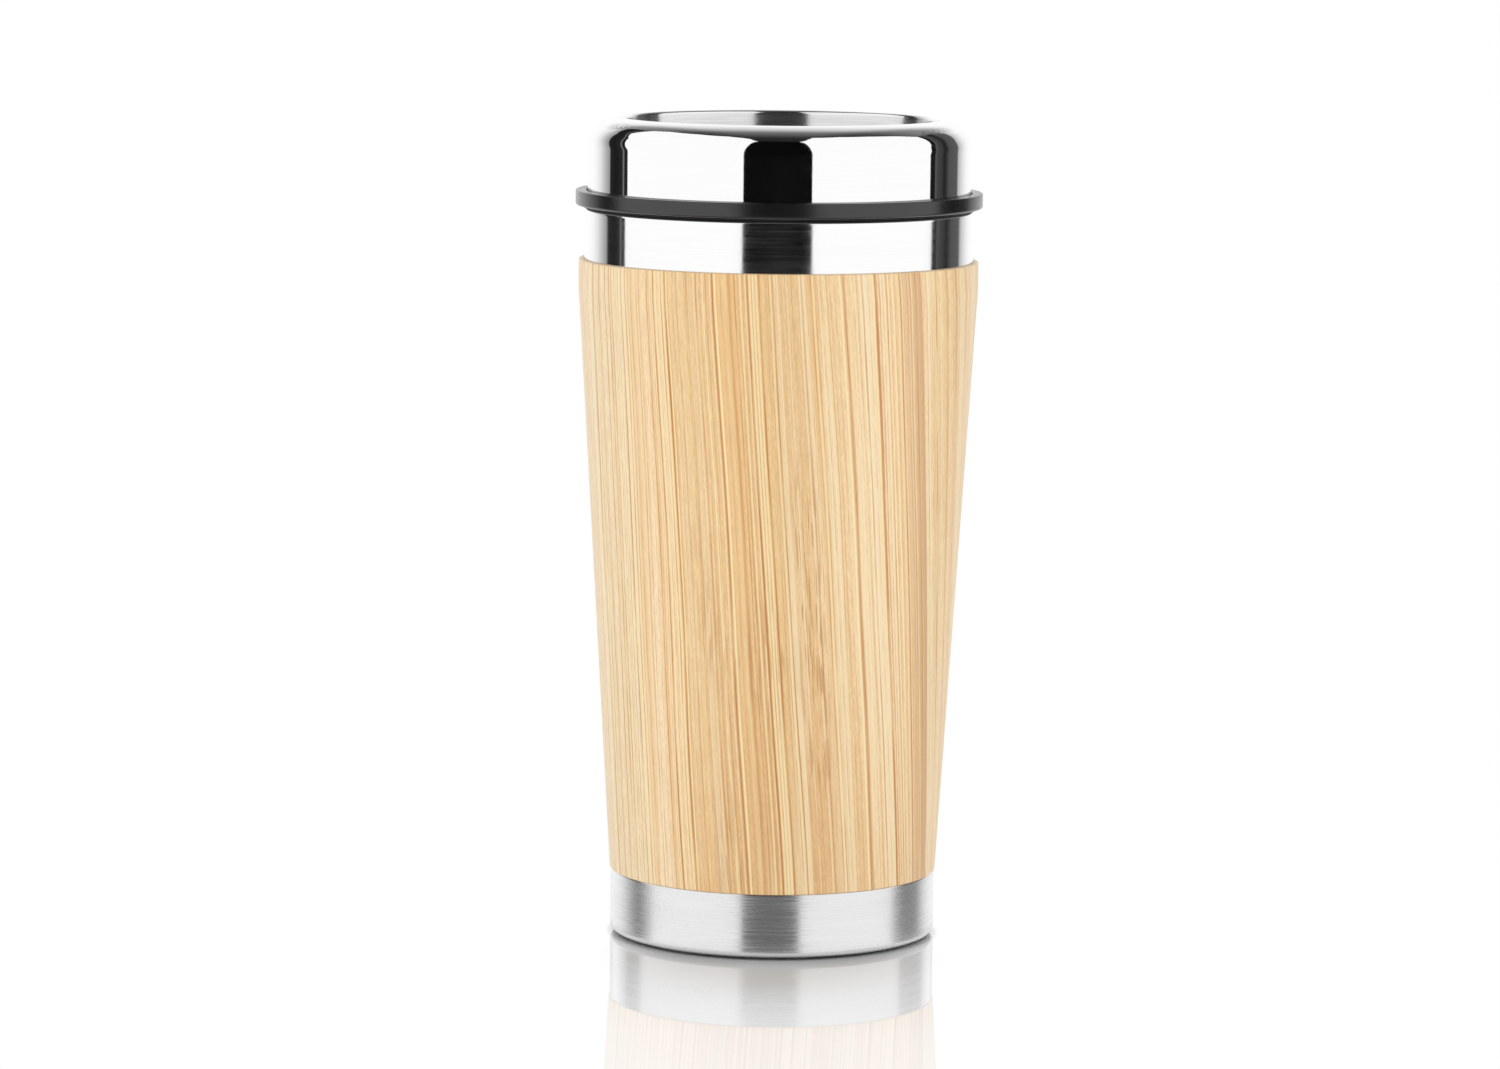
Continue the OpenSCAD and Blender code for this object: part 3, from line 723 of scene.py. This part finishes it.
def make_seal(name, low):
    """A ring in a groove of the plug, with a rounded lip that wipes the neck."""
    high, root_r, lip = low + (seal_top - seal_low), plug_r - 1.05 * MM, 0.35 * MM
    return turned(name, [
        (root_r, low), (plug_r, low), *bend(seal_r - lip, (low + high) / 2, lip, -60, 60, 8),
        (plug_r, high), (root_r, high)
    ], "silicone_clear", 240)


def make_cover():
    sheet, recess_low = COVER_SHEET, floor_z - 0.95 * MM
    bend_r, bend_z, steep = recess_mouth_r + RIM_BEND_R, cover_top - RIM_BEND_R, 180 - recess_lean
    return turned("cover_drawn_sheet", [
        (cover_r, cover_low), *high_corner(cover_r, cover_top, SHOULDER_R, 40),
        *bend(bend_r, bend_z, RIM_BEND_R, 90, steep, 16), (recess_r, floor_z), (recess_r, recess_low),
        (recess_r + sheet, recess_low), (recess_r + sheet, floor_z),
        *bend(bend_r, bend_z, RIM_BEND_R - sheet, steep, 90, 8),
        *high_corner(cover_r - sheet, cover_top - sheet, SHOULDER_R - sheet, 20)[::-1],
        (cover_r - sheet, cover_low)
    ], "steel_polished")


# ---------------- Moulded pieces

def ring_faces(rings, count, start=0):
    """Quads between closed rings of count points each."""
    return [
        (start + row * count + i, start + row * count + (i + 1) % count,
         start + (row + 1) * count + (i + 1) % count, start + (row + 1) * count + i)
        for row in range(rings - 1) for i in range(count)
    ]


def lofted(name, rings):
    """A closed skin over rings of equal count, with flat ends."""
    mesh = bpy.data.meshes.new(name)
    points = [point for ring in rings for point in ring]
    count, total = len(rings[0]), len(points)
    ends = [tuple(range(count))[::-1], tuple(range(total - count, total))]
    mesh.from_pydata(points, [], ring_faces(len(rings), count) + ends)
    piece = object_of(name, mesh)
    with_mesh(piece, lambda work: bmesh.ops.recalc_face_normals(work, faces=work.faces))
    return piece


def slot_plan(width, length, centre_y, steps=24):
    """A slot across X with round ends. Each plan gives its outline for an inset from its size."""
    def outline(inset):
        reach, radius = (width - length) / 2, length / 2 - inset
        return bend(reach, centre_y, radius, -90, 90, steps) + bend(-reach, centre_y, radius, 90, 270, steps)
    return outline


def box_plan(x0, x1, y0, y1, corner):
    """A rectangle with rounded corners."""
    def outline(inset):
        radius = max(corner - inset, 0.02 * MM)
        from_side = inset + radius
        left, right, front, back = x0 + from_side, x1 - from_side, y0 + from_side, y1 - from_side
        corners = ((right, back), (left, back), (left, front), (right, front))
        return [p for i, (x, y) in enumerate(corners) for p in bend(x, y, radius, 90 * i, 90 * i + 90, 6)]
    return outline


def slider_plan(half_w, front, back, end_r, corner):
    """The slider seen from above: straight sides, gently round ends and softened corners."""
    def outline(inset):
        half, radius, soft = half_w - inset, end_r - inset, corner - inset
        reach = math.sqrt((radius - soft) ** 2 - (half - soft) ** 2)
        lean = math.degrees(math.acos((half - soft) / (radius - soft)))
        side = bend(half - soft, reach, soft, 0, lean, 6)
        end = side + bend(0, 0, radius, lean, 180 - lean, 14)[1:-1] + [(-x, y) for x, y in side[::-1]]
        return [(x, back - end_r + y) for x, y in end] + [(x, front + end_r - y) for x, y in end[::-1]]
    return outline


def rounded_corners(corners, steps=6):
    """A convex outline whose corners, given as (x, y, radius), are rounded where the radius isn't zero."""
    points = []
    for before, corner, after in zip(corners[-1:] + corners[:-1], corners, corners[1:] + corners[:1]):
        here, radius = Vector(corner[:2]), corner[2]
        if not radius:
            points.append(tuple(here))
            continue
        back, on = (Vector(before[:2]) - here).normalized(), (Vector(after[:2]) - here).normalized()
        half = back.angle(on) / 2
        centre = here + (back + on).normalized() * (radius / math.sin(half))
        first, last = (here + way * (radius / math.tan(half)) - centre for way in (back, on))
        points += [tuple(centre + first.lerp(last, i / steps).normalized() * radius) for i in range(steps + 1)]
    return points


def at_height(points, z):
    return [(x, y, z) for x, y in points]


def quarter_turn(steps):
    """How much is left of a radius along and across, from all and nothing to nothing and all."""
    turns = [math.pi / 2 * i / steps for i in range(steps + 1)]
    return [(1 - math.sin(turn), 1 - math.cos(turn)) for turn in turns]


def moulded_rings(plan, low, high, low_edge, high_edge, steps=5):
    """Rings of an upright moulding, with its lower and upper edge rounded."""
    lower = [at_height(plan(low_edge * a), low + low_edge * b) for a, b in quarter_turn(steps)]
    return lower + [at_height(plan(high_edge * b), high - high_edge * a) for a, b in quarter_turn(steps)]


def cutter(name, plan, low, top, lip):
    """A hole's cutter, which opens out in a round lip at the face that it goes through."""
    rings = [at_height(plan(0), low)] + [at_height(plan(-lip * b), top - lip * a) for a, b in quarter_turn(6)]
    return lofted(name, rings + [at_height(plan(-lip), top + 4 * MM)])


def combined(piece, other, operation):
    """Joins other to piece, or cuts it away, and removes other."""
    modifier = piece.modifiers.new("combine", "BOOLEAN")
    modifier.operation, modifier.object, modifier.solver = operation, other, "EXACT"
    made = as_it_stands(piece, piece.name)
    piece.modifiers.clear()
    piece.data = made
    bpy.data.objects.remove(other)
    return piece


def joined(name, pieces):
    """Several closed skins in one mesh."""
    work = bmesh.new()
    for piece in pieces:
        work.from_mesh(piece.data)
        bpy.data.objects.remove(piece)
    mesh = bpy.data.meshes.new(name)
    work.to_mesh(mesh)
    work.free()
    return object_of(name, mesh)


def smoothed(piece, finish, crease):
    """One finish, smooth shading, and sharp edges where the faces turn by more than crease degrees."""
    piece.data.materials.clear()
    piece.data.materials.append(finishes[finish])

    def shade(work):
        bmesh.ops.remove_doubles(work, verts=work.verts, dist=CUT_WELD)
        for face in work.faces:
            face.smooth = True
            face.material_index = 0
        for edge in work.edges:
            edge.smooth = edge.is_manifold and edge.calc_face_angle(0) < math.radians(crease)
    with_mesh(piece, shade)
    return piece


def make_lid_body():
    """Flange, riser, floor and plug are turned, then the tubes and rails are joined and the holes cut."""
    lid_z, soft, seat = gasket_top, 0.15 * MM, 1 * MM
    wall_r = recess_r + COVER_SHEET + FIT_GAP
    lip_r, seat_r, gap_r = wall_r + 1.8 * MM, cover_r - COVER_SHEET - FIT_GAP, cover_r + 0.25 * MM
    plug_in_r, root_r, groove_h = plug_r - 2.6 * MM, plug_r - 1.1 * MM, 2.4 * MM
    ledge_r, under_z, ledge_z = plug_in_r - 1.2 * MM, plug_low + 1.6 * MM, plug_low + 2.8 * MM
    floor_r, under_floor = recess_r - FIT_GAP, floor_z - 2 * MM
    grooves = [point for low in (seal_low - FIT_GAP, upper_seal_low - FIT_GAP)
               for point in ((plug_r, low), (root_r, low), (root_r, low + groove_h), (plug_r, low + groove_h))]
    body = turned("lid_body_moulded", [
        (0, under_floor), *high_corner(wall_r, under_floor, 0.6 * MM, 5)[::-1], (wall_r, lid_z),
        (plug_in_r, lid_z), (plug_in_r, ledge_z), (ledge_r, ledge_z), (ledge_r, under_z), (plug_in_r, under_z),
        (plug_in_r, plug_low), *low_corner(plug_r, plug_low, 0.8 * MM, 8), *grooves, (plug_r, lid_z),
        *low_corner(flange_r, lid_z, 0.5 * MM, 10), *high_corner(flange_r, flange_top, 0.3 * MM, 8),
        *bend(gap_r + soft, flange_top - soft, soft, 90, 180, 4), (gap_r, flange_top - seat),
        (seat_r, flange_top - seat), (seat_r, flange_top), (lip_r, flange_top),
        *high_corner(lip_r, floor_z, soft, 4), (wall_r, floor_z), (wall_r, floor_z - seat),
        (floor_r, floor_z - seat), *high_corner(floor_r, floor_z, soft, 4), (0, floor_z)
    ], "lid_black")

    spout = slot_plan(SPOUT_W, SPOUT_L, SPOUT_Y)
    vent = slot_plan(2 * VENT_R, 2 * VENT_R, VENT_Y, 16)
    slot = box_plan(-SLOT_W / 2, SLOT_W / 2, SLOT_FRONT, SLOT_BACK, 0.5 * MM)
    into_floor, clear = floor_z - 1 * MM, 1 * MM
    rail_in, rail_out = slider_high.x + 0.3 * MM, slider_high.x + 1.9 * MM
    rail_half = math.sqrt(rail_r ** 2 - rail_out ** 2)
    tubes = [
        lofted("tube", moulded_rings(lambda inset: hole(inset - TUBE_WALL), plug_low, into_floor, soft, soft))
        for hole in (spout, vent)
    ]
    rails = [
        lofted("rail", moulded_rings(
            box_plan(x0, x1, -rail_half, rail_half, 0.7 * MM), into_floor, rail_top, soft, 0.5 * MM))
        for x0, x1 in ((-rail_out, -rail_in), (rail_in, rail_out))
    ]
    body = combined(body, joined("tubes_and_rails", tubes + rails), "UNION")
    cutters = [
        cutter("spout_cutter", spout, plug_low - clear, floor_z, 0.6 * MM),
        cutter("vent_cutter", vent, plug_low - clear, floor_z, 0.3 * MM),
        cutter("slot_cutter", slot, under_floor - clear, floor_z, 0.2 * MM),
    ]
    return smoothed(combined(body, joined("hole_cutters", cutters), "DIFFERENCE"), "lid_black", 35)


def make_slider():
    """Plate with rounded edges, a pocket for the seal pad, and the wedge for the thumb."""
    front, back, half_w = slider_low.y, slider_high.y, slider_high.x
    low, plate_top = floor_z + 0.3 * MM, floor_z + 2.9 * MM
    plan = slider_plan(half_w, front, back, SLIDER_END_R, 2.2 * MM)
    plate = lofted("slider_plate", moulded_rings(plan, low, plate_top, 0.25 * MM, 0.7 * MM, 6))

    # Side view of the wedge: its foot in the plate, its low back edge and its high front edge
    sunk, soft = plate_top - 1.3 * MM, 0.9 * MM
    grip_back, ridge_y, ridge_z = GRIP_FRONT + GRIP_L, GRIP_FRONT + GRIP_H / 2, plate_top + GRIP_H
    wedge = rounded_corners([
        (GRIP_FRONT, sunk, 0), (grip_back, sunk, 0), (grip_back, plate_top + GRIP_LOW_H, 0.6 * MM),
        (ridge_y, ridge_z, soft), (GRIP_FRONT, plate_top, 0)
    ])
    middle_y, middle_z = (sum(point[k] for point in wedge) / len(wedge) for k in (0, 1))

    def side_view(x, inset):
        """The wedge's outline at x, drawn in towards its middle."""
        kept = [1 - inset / math.dist(point, (middle_y, middle_z)) for point in wedge]
        return [(x, middle_y + (y - middle_y) * keep, middle_z + (z - middle_z) * keep)
                for (y, z), keep in zip(wedge, kept)]
    sides = [(GRIP_W / 2 - soft * b, soft * a) for a, b in quarter_turn(6)]
    grip = lofted("thumb_wedge", [side_view(-x, inset) for x, inset in sides]
                  + [side_view(x, inset) for x, inset in sides[::-1]])

    # One rib with round ends, and its copies down the wedge's slope
    rib_half = GRIP_W / 2 - 1.6 * MM
    tip = [bend(rib_half, 0, RIB_R, angle, angle, 1)[0] for angle in (12, 35, 60, 90)]
    rib = lofted("thumb_rib", [
        [(x, y, z) for y, z in bend(0, 0, radius, 0, 360, 16)[:-1]]
        for x, radius in [(-x, radius) for x, radius in tip] + tip[::-1]
    ])
    rib_mesh = rib.data.copy()
    bpy.data.objects.remove(rib)
    run = grip_back - ridge_y

    def on_slope(part):
        return (0, ridge_y + run * part, ridge_z - (GRIP_H - GRIP_LOW_H) * part)
    ribs = through_tree("thumb_ribs", rib_mesh, rows_of_ribs, Count=RIBS, Start=on_slope(0.5 / RIBS),
                        End=on_slope(1 - 0.5 / RIBS), Finish=finishes["slider_black"])
    plate = combined(combined(plate, grip, "UNION"), ribs, "UNION")

    # The pocket that the seal pad lies in, and the socket for the clip's stem
    pad_high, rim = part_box("slider_seal_pad")[1], 0.95 * MM
    pad_plan = slider_plan(half_w - rim, front + rim, back, SLIDER_END_R - rim, 1.3 * MM)
    pocket = [(x, min(y, pad_high.y + FIT_GAP)) for x, y in pad_plan(0)]
    socket = box_plan(-2.75 * MM, 2.75 * MM, -9.35 * MM, -1.85 * MM, 0.1 * MM)(0)
    cutters = [
        lofted(name, [at_height(outline, z) for z in (low - 1 * MM, top)])
        for name, outline, top in (("pad_pocket", pocket, pad_high.z), ("stem_socket", socket, low + 1.6 * MM))
    ]
    plate = combined(plate, joined("slider_cutters", cutters), "DIFFERENCE")
    plate.name = "slider_moulded"
    return smoothed(plate, "slider_black", 40)


# ---------------- The object's pieces

def dress(piece, body, finish, *nodes):
    """Sets a finished piece on its body, in place of the solids that it stands for."""
    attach(piece, body)
    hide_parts(*nodes)


dress(make_foot_pad(), "cup", "foot_rubber", "foot_pad")
dress(make_base_cup(), "cup", "steel_brushed", "base_cup")
dress(make_sleeve(), "cup", "bamboo", "bamboo_sleeve")
dress(make_shell(), "cup", "steel_collar", "outer_shell")
dress(make_liner(), "cup", "steel_inside", "inner_liner")
dress(make_gasket(), "gasket", "silicone_black", "rim_gasket")
dress(make_lid_body(), "lid", "lid_black", "lid_body")
dress(make_cover(), "lid", "steel_polished", "lid_cover")
dress(make_seal("seal_ring_lower", seal_low), "lid", "silicone_clear", "plug_seal_lower")
dress(make_seal("seal_ring_upper", upper_seal_low), "lid", "silicone_clear", "plug_seal_upper")
dress(make_slider(), "slider", "slider_black", "slider")

# Flat hidden pieces keep their own solids, in the same finishes
for node_name, finish in (("shell_bottom_plate", "steel_inside"), ("lid_underplate", "lid_grey"),
                          ("slider_seal_pad", "silicone_clear"), ("slider_clip", "lid_grey")):
    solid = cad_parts[node_name]
    if not solid.data.materials:
        solid.data.materials.append(finishes[finish])
    for material_slot in solid.material_slots:
        material_slot.material = finishes[finish]


# ---------------- Studio

CARD_REACH = 5.0
CARD_FOOT = -40
SECOND_BOUNCE = 1.5  # glossy depths above this are reflections of reflections


def studio_card(name, columns, shade, inner_edges=None):
    """A far card that only the object's reflections see. Its columns hold (azimuth, height) points: degrees to
    the right of the camera's side, and degrees above the table."""
    def sky_place(azimuth, height):
        turn, lift = math.radians(azimuth), math.radians(height)
        return (CARD_REACH * math.sin(turn) * math.cos(lift), -CARD_REACH * math.cos(turn) * math.cos(lift),
                CARD_REACH * math.sin(lift))
    tall = len(columns[0])
    mesh = bpy.data.meshes.new(name)
    mesh.from_pydata([sky_place(*point) for column in columns for point in column], [], [
        (i * tall + k, (i + 1) * tall + k, (i + 1) * tall + k + 1, i * tall + k + 1)
        for i in range(len(columns) - 1) for k in range(tall - 1)])
    if inner_edges:
        beyond = mesh.attributes.new("beyond_edge", "FLOAT", "POINT")
        beyond.data.foreach_set("value", [abs(azimuth) - edge for column in columns
                                          for (azimuth, _), edge in zip(column, inner_edges)])
    card = object_of(name, mesh)
    mesh.materials.append(shade)
    card.visible_camera = card.visible_diffuse = card.visible_shadow = False


def between(table, at):
    """A value read off a table of (place, value) rows."""
    if at <= table[0][0]:
        return table[0][1]
    for (a, low), (b, high) in zip(table, table[1:]):
        if at <= b:
            return low + (high - low) * (at - a) / (b - a)
    return table[-1][1]


def spaced(start, end, count):
    return [start + (end - start) * i / (count - 1) for i in range(count)]


def upright(azimuths, span_at, count):
    """Columns of card points at the azimuths, each over the span of heights that it has there."""
    return [[(azimuth, height) for height in spaced(*span_at(azimuth), count)] for azimuth in azimuths]


def bare_tree(holder):
    """The node tree of a material or world, without the nodes that come with it."""
    holder.use_nodes = True
    holder.node_tree.nodes.clear()
    return holder.node_tree


def mix_shaders(share, first, second):
    return add(share.tree, "ShaderNodeMixShader", {0: share, 1: first, 2: second})


def even_light(tree, colour):
    return add(tree, "ShaderNodeEmission", {"Color": colour, "Strength": 1.0})


def glow(name, colour_at):
    """A surface of the studio that has its own even brightness. The mug mirrors it, but the table doesn't."""
    material = bpy.data.materials.new(name)
    tree = bare_tree(material)
    light = even_light(tree, colour_at(add(tree, "ShaderNodeTexCoord")["Object"]))
    hit = add(tree, "ShaderNodeNewGeometry")
    rise = split(hit["Incoming"])[2] * add(tree, "ShaderNodeLightPath")["Ray Length"]
    off_table = calculate("LESS_THAN", rise + split(hit["Position"])[2], 0.3 * MM)
    seen = mix_shaders(off_table, light, add(tree, "ShaderNodeBsdfTransparent"))
    add(tree, "ShaderNodeOutputMaterial", {"Surface": seen})
    return material


def over_floor(place, shade, veil):
    """Below the table's height the shiny floor stands in front of a card and veils it."""
    height = split(place)[2]
    return blend(fade(height, -0.08 * CARD_REACH, -0.16 * CARD_REACH, 0.0, veil), shade, grey(1.0))


def ceiling_shade(place):
    """Dark over the camera, and lighter towards the back, where it meets the white backdrop."""
    x, y, z = split(place)
    depth = y / CARD_REACH
    tones = [(-0.5, 0.016), (-0.26, 0.027), (-0.03, 0.09), (0.24, 0.19), (0.54, 0.6), (0.86, 0.94)]
    shade = ramp(depth * 0.5 + 0.5, [(0.5 * at + 0.5, grey(value)) for at, value in tones])
    aside = fade(abs(x), 0.15 * CARD_REACH, 0.4 * CARD_REACH, 1.0, 0.36)
    shade = blend(1.0, shade, vector_of(aside, aside, aside), "MULTIPLY")
    low = fall(z, 0.3 * CARD_REACH, 0.57 * CARD_REACH)
    return blend(low * fade(depth, 0.0, 0.3), shade, grey(1.0))


def drape_shade(*stops):
    """A side card's tone by the degrees beyond its inner edge."""
    span = stops[-1][0]

    def shade(place):
        beyond = add(place.tree, "ShaderNodeAttribute", attribute_name="beyond_edge")["Fac"]
        return over_floor(place, ramp(beyond / span, [(at / span, grey(value)) for at, value in stops]), 0.33)
    return shade


left_drape = drape_shade(
    (0, 0.02), (1.5, 0.012), (3.1, 0.02), (3.6, 0.16), (4.6, 0.16), (5.1, 0.02), (12, 0.012), (18.8, 0.02),
    (19.2, 0.28), (25.5, 0.5), (32.5, 0.78), (40, 0.94), (48, 1.0)
)
right_drape = drape_shade(
    (0, 0.006), (4.4, 0.01), (5.0, 0.1), (7, 0.06), (12, 0.04), (14.5, 0.016), (17, 0.03), (20, 0.08),
    (30, 0.1), (31.8, 0.13), (32.4, 0.45), (36, 0.6), (41, 0.78), (48, 0.94), (55, 1.0)
)
# How far the white panels beside the camera reach: their outer edges by height, and their top edge by azimuth
left_edge = [(-11, 95), (-4, 102.5), (2, 103), (27, 113), (36, 125), (48, 130)]
right_edge = [(-11, 95), (-3, 101.4), (14, 104), (30, 112), (41, 118)]
top_edge = [(-180, 15), (-150, 20), (-142, 40), (-130, 48), (-124, 55), (-100, 64), (-66, 70), (-43, 69),
            (-30, 66), (-24, 61), (-19, 57.5), (0, 56), (17, 57.5), (23, 61), (30, 67), (44, 73), (78, 69),
            (98, 61), (111, 52), (118, 41), (138, 36), (150, 20), (180, 15)]
FRONT_LEFT, FRONT_RIGHT, FRONT_CORNER = -21.2, 19.3, 5
FRONT_TOP, CORNER_RISE = 50, 8


def front_span(azimuth):
    """Heights of the black card behind the camera, whose upper corners are round."""
    inside = min(azimuth - FRONT_LEFT, FRONT_RIGHT - azimuth, FRONT_CORNER) / FRONT_CORNER
    return CARD_FOOT, FRONT_TOP + CORNER_RISE * math.sqrt(1 - (1 - inside) ** 2)


studio_card("front_card", upright(spaced(FRONT_LEFT, FRONT_RIGHT, 60), front_span, 40),
            glow("front_black", lambda place: over_floor(place, grey(0.003), 0.225)))
studio_card("table_card", upright(spaced(-180, 180, 121), lambda at: (-90, -50), 12),
            glow("table_shade", lambda place: grey(0.02)))
studio_card("ceiling_card", upright(spaced(-180, 180, 241), lambda at: (between(top_edge, at), 90), 30),
            glow("studio_ceiling", ceiling_shade))
for side_name, side, edges, top, width, drape in (("left", -1, left_edge, 48, 48, left_drape),
                                                  ("right", 1, right_edge, 41, 55, right_drape)):
    heights = spaced(CARD_FOOT, top, 60)
    inner = [between(edges, height) for height in heights]
    side_columns = [[(side * (edge + step), height) for edge, height in zip(inner, heights)]
                    for step in spaced(0, width, 48)]
    studio_card(side_name + "_card", side_columns, glow(side_name + "_drape", drape), inner)


def make_floor():
    """White acrylic: white to the camera, with a faint mirror and the mug's own shadow close to it."""
    rings, count = [0.02, 0.034, 0.045, 0.06, 0.09, 0.15, 0.3, 1.0, 3.0], 96
    points = [point for r in rings for point in at_height(bend(0, 0, r, 0, 360, count)[:-1], 0)]
    middle = [(0, 1 + i, 1 + (i + 1) % count) for i in range(count)]
    around = [face[::-1] for face in ring_faces(len(rings), count, 1)]
    mesh = bpy.data.meshes.new("floor")
    mesh.from_pydata([(0, 0, 0)] + points, [], middle + around)
    floor = object_of("floor", mesh)
    material = bpy.data.materials.new("white_acrylic")
    mesh.materials.append(material)
    tree = bare_tree(material)
    place = add(tree, "ShaderNodeTexCoord")["Object"]
    from_axis = length_of(place)

    # Plain white, but matt under the mug and in the shade in front of its foot
    narrowed = add(tree, "ShaderNodeMapping", {"Vector": place, "Location": (0, 0.03, 0), "Scale": (1.3, 1, 1)})
    lit_share = fade(from_axis, 0.035, 0.0363) * fade(length_of(narrowed), 0.022, 0.052)
    matt = add(tree, "ShaderNodeBsdfDiffuse", {"Color": grey(0.94)})
    seen = mix_shaders(lit_share, matt, even_light(tree, grey(1.0)))

    # How much the floor mirrors, by the millimetres from the axis
    span, shares = 300, [(36, 0.5), (50, 0.48), (72, 0.42), (95, 0.33), (110, 0.26), (140, 0.22), (165, 0.17),
                         (220, 0.06), (290, 0.0)]
    mirror = add(tree, "ShaderNodeBsdfGlossy", {"Color": grey(1.0), "Roughness": 0.03})
    share = ramp(from_axis / (span * MM), [(at / span, grey(value)) for at, value in shares])
    seen = mix_shaders(add(tree, "ShaderNodeSeparateColor", {"Color": share})["Red"], seen, mirror)

    # Reflections in the mug see the floor only right at its foot, and the studio beyond that;
    # reflections in the mug's mirror image see all of it, and shade close to the foot
    rays = add(tree, "ShaderNodeLightPath")
    again = calculate("GREATER_THAN", rays["Glossy Depth"], SECOND_BOUNCE)
    once = rays["Is Glossy Ray"] * calculate("LESS_THAN", rays["Glossy Depth"], SECOND_BOUNCE)
    foot_shade = again * fade(from_axis, 0.036, 0.062, 0.7, 0.0)
    seen = mix_shaders(foot_shade, seen, add(tree, "ShaderNodeBsdfDiffuse", {"Color": grey(0.0)}))
    open_floor = once * calculate("GREATER_THAN", from_axis, 0.04)
    seen = mix_shaders(open_floor, seen, add(tree, "ShaderNodeBsdfTransparent"))
    add(tree, "ShaderNodeOutputMaterial", {"Surface": seen})


def make_room():
    """White all round. Seen in a second mirror, such as the band in the floor, it's dimmer than to the eye."""
    world = bpy.data.worlds.new("white_studio")
    tree = bare_tree(world)
    again = calculate("GREATER_THAN", add(tree, "ShaderNodeLightPath")["Glossy Depth"], SECOND_BOUNCE)
    room = add(tree, "ShaderNodeBackground", {"Color": grey(1.0), "Strength": again * -0.3 + 1.0})
    add(tree, "ShaderNodeOutputWorld", {"Surface": room})
    SCENE.world = world
    SCENE.view_settings.view_transform = "Standard"


def make_camera():
    """The photo's camera, as it was fitted to the mug's rings."""
    focal_pixels, image_width, sensor = 5703.8, 1500, 36.0
    place = (0.08 * MM, -1218.7 * MM, 236.7 * MM)
    pitch, yaw, roll = math.radians(7.03), math.radians(-0.263), math.radians(0.590)
    aim = (Matrix.Rotation(-yaw, 4, "Z") @ Matrix.Rotation(math.pi / 2 - pitch, 4, "X")
           @ Matrix.Rotation(roll, 4, "Z"))
    lens = bpy.data.cameras.new("photo_camera")
    lens.sensor_width, lens.lens = sensor, focal_pixels * sensor / image_width
    lens.clip_start, lens.clip_end = 0.05, 50
    camera = object_of("photo_camera", lens)
    camera.matrix_world = Matrix.Translation(place) @ aim
    SCENE.camera = camera


make_floor()
make_room()
make_camera()
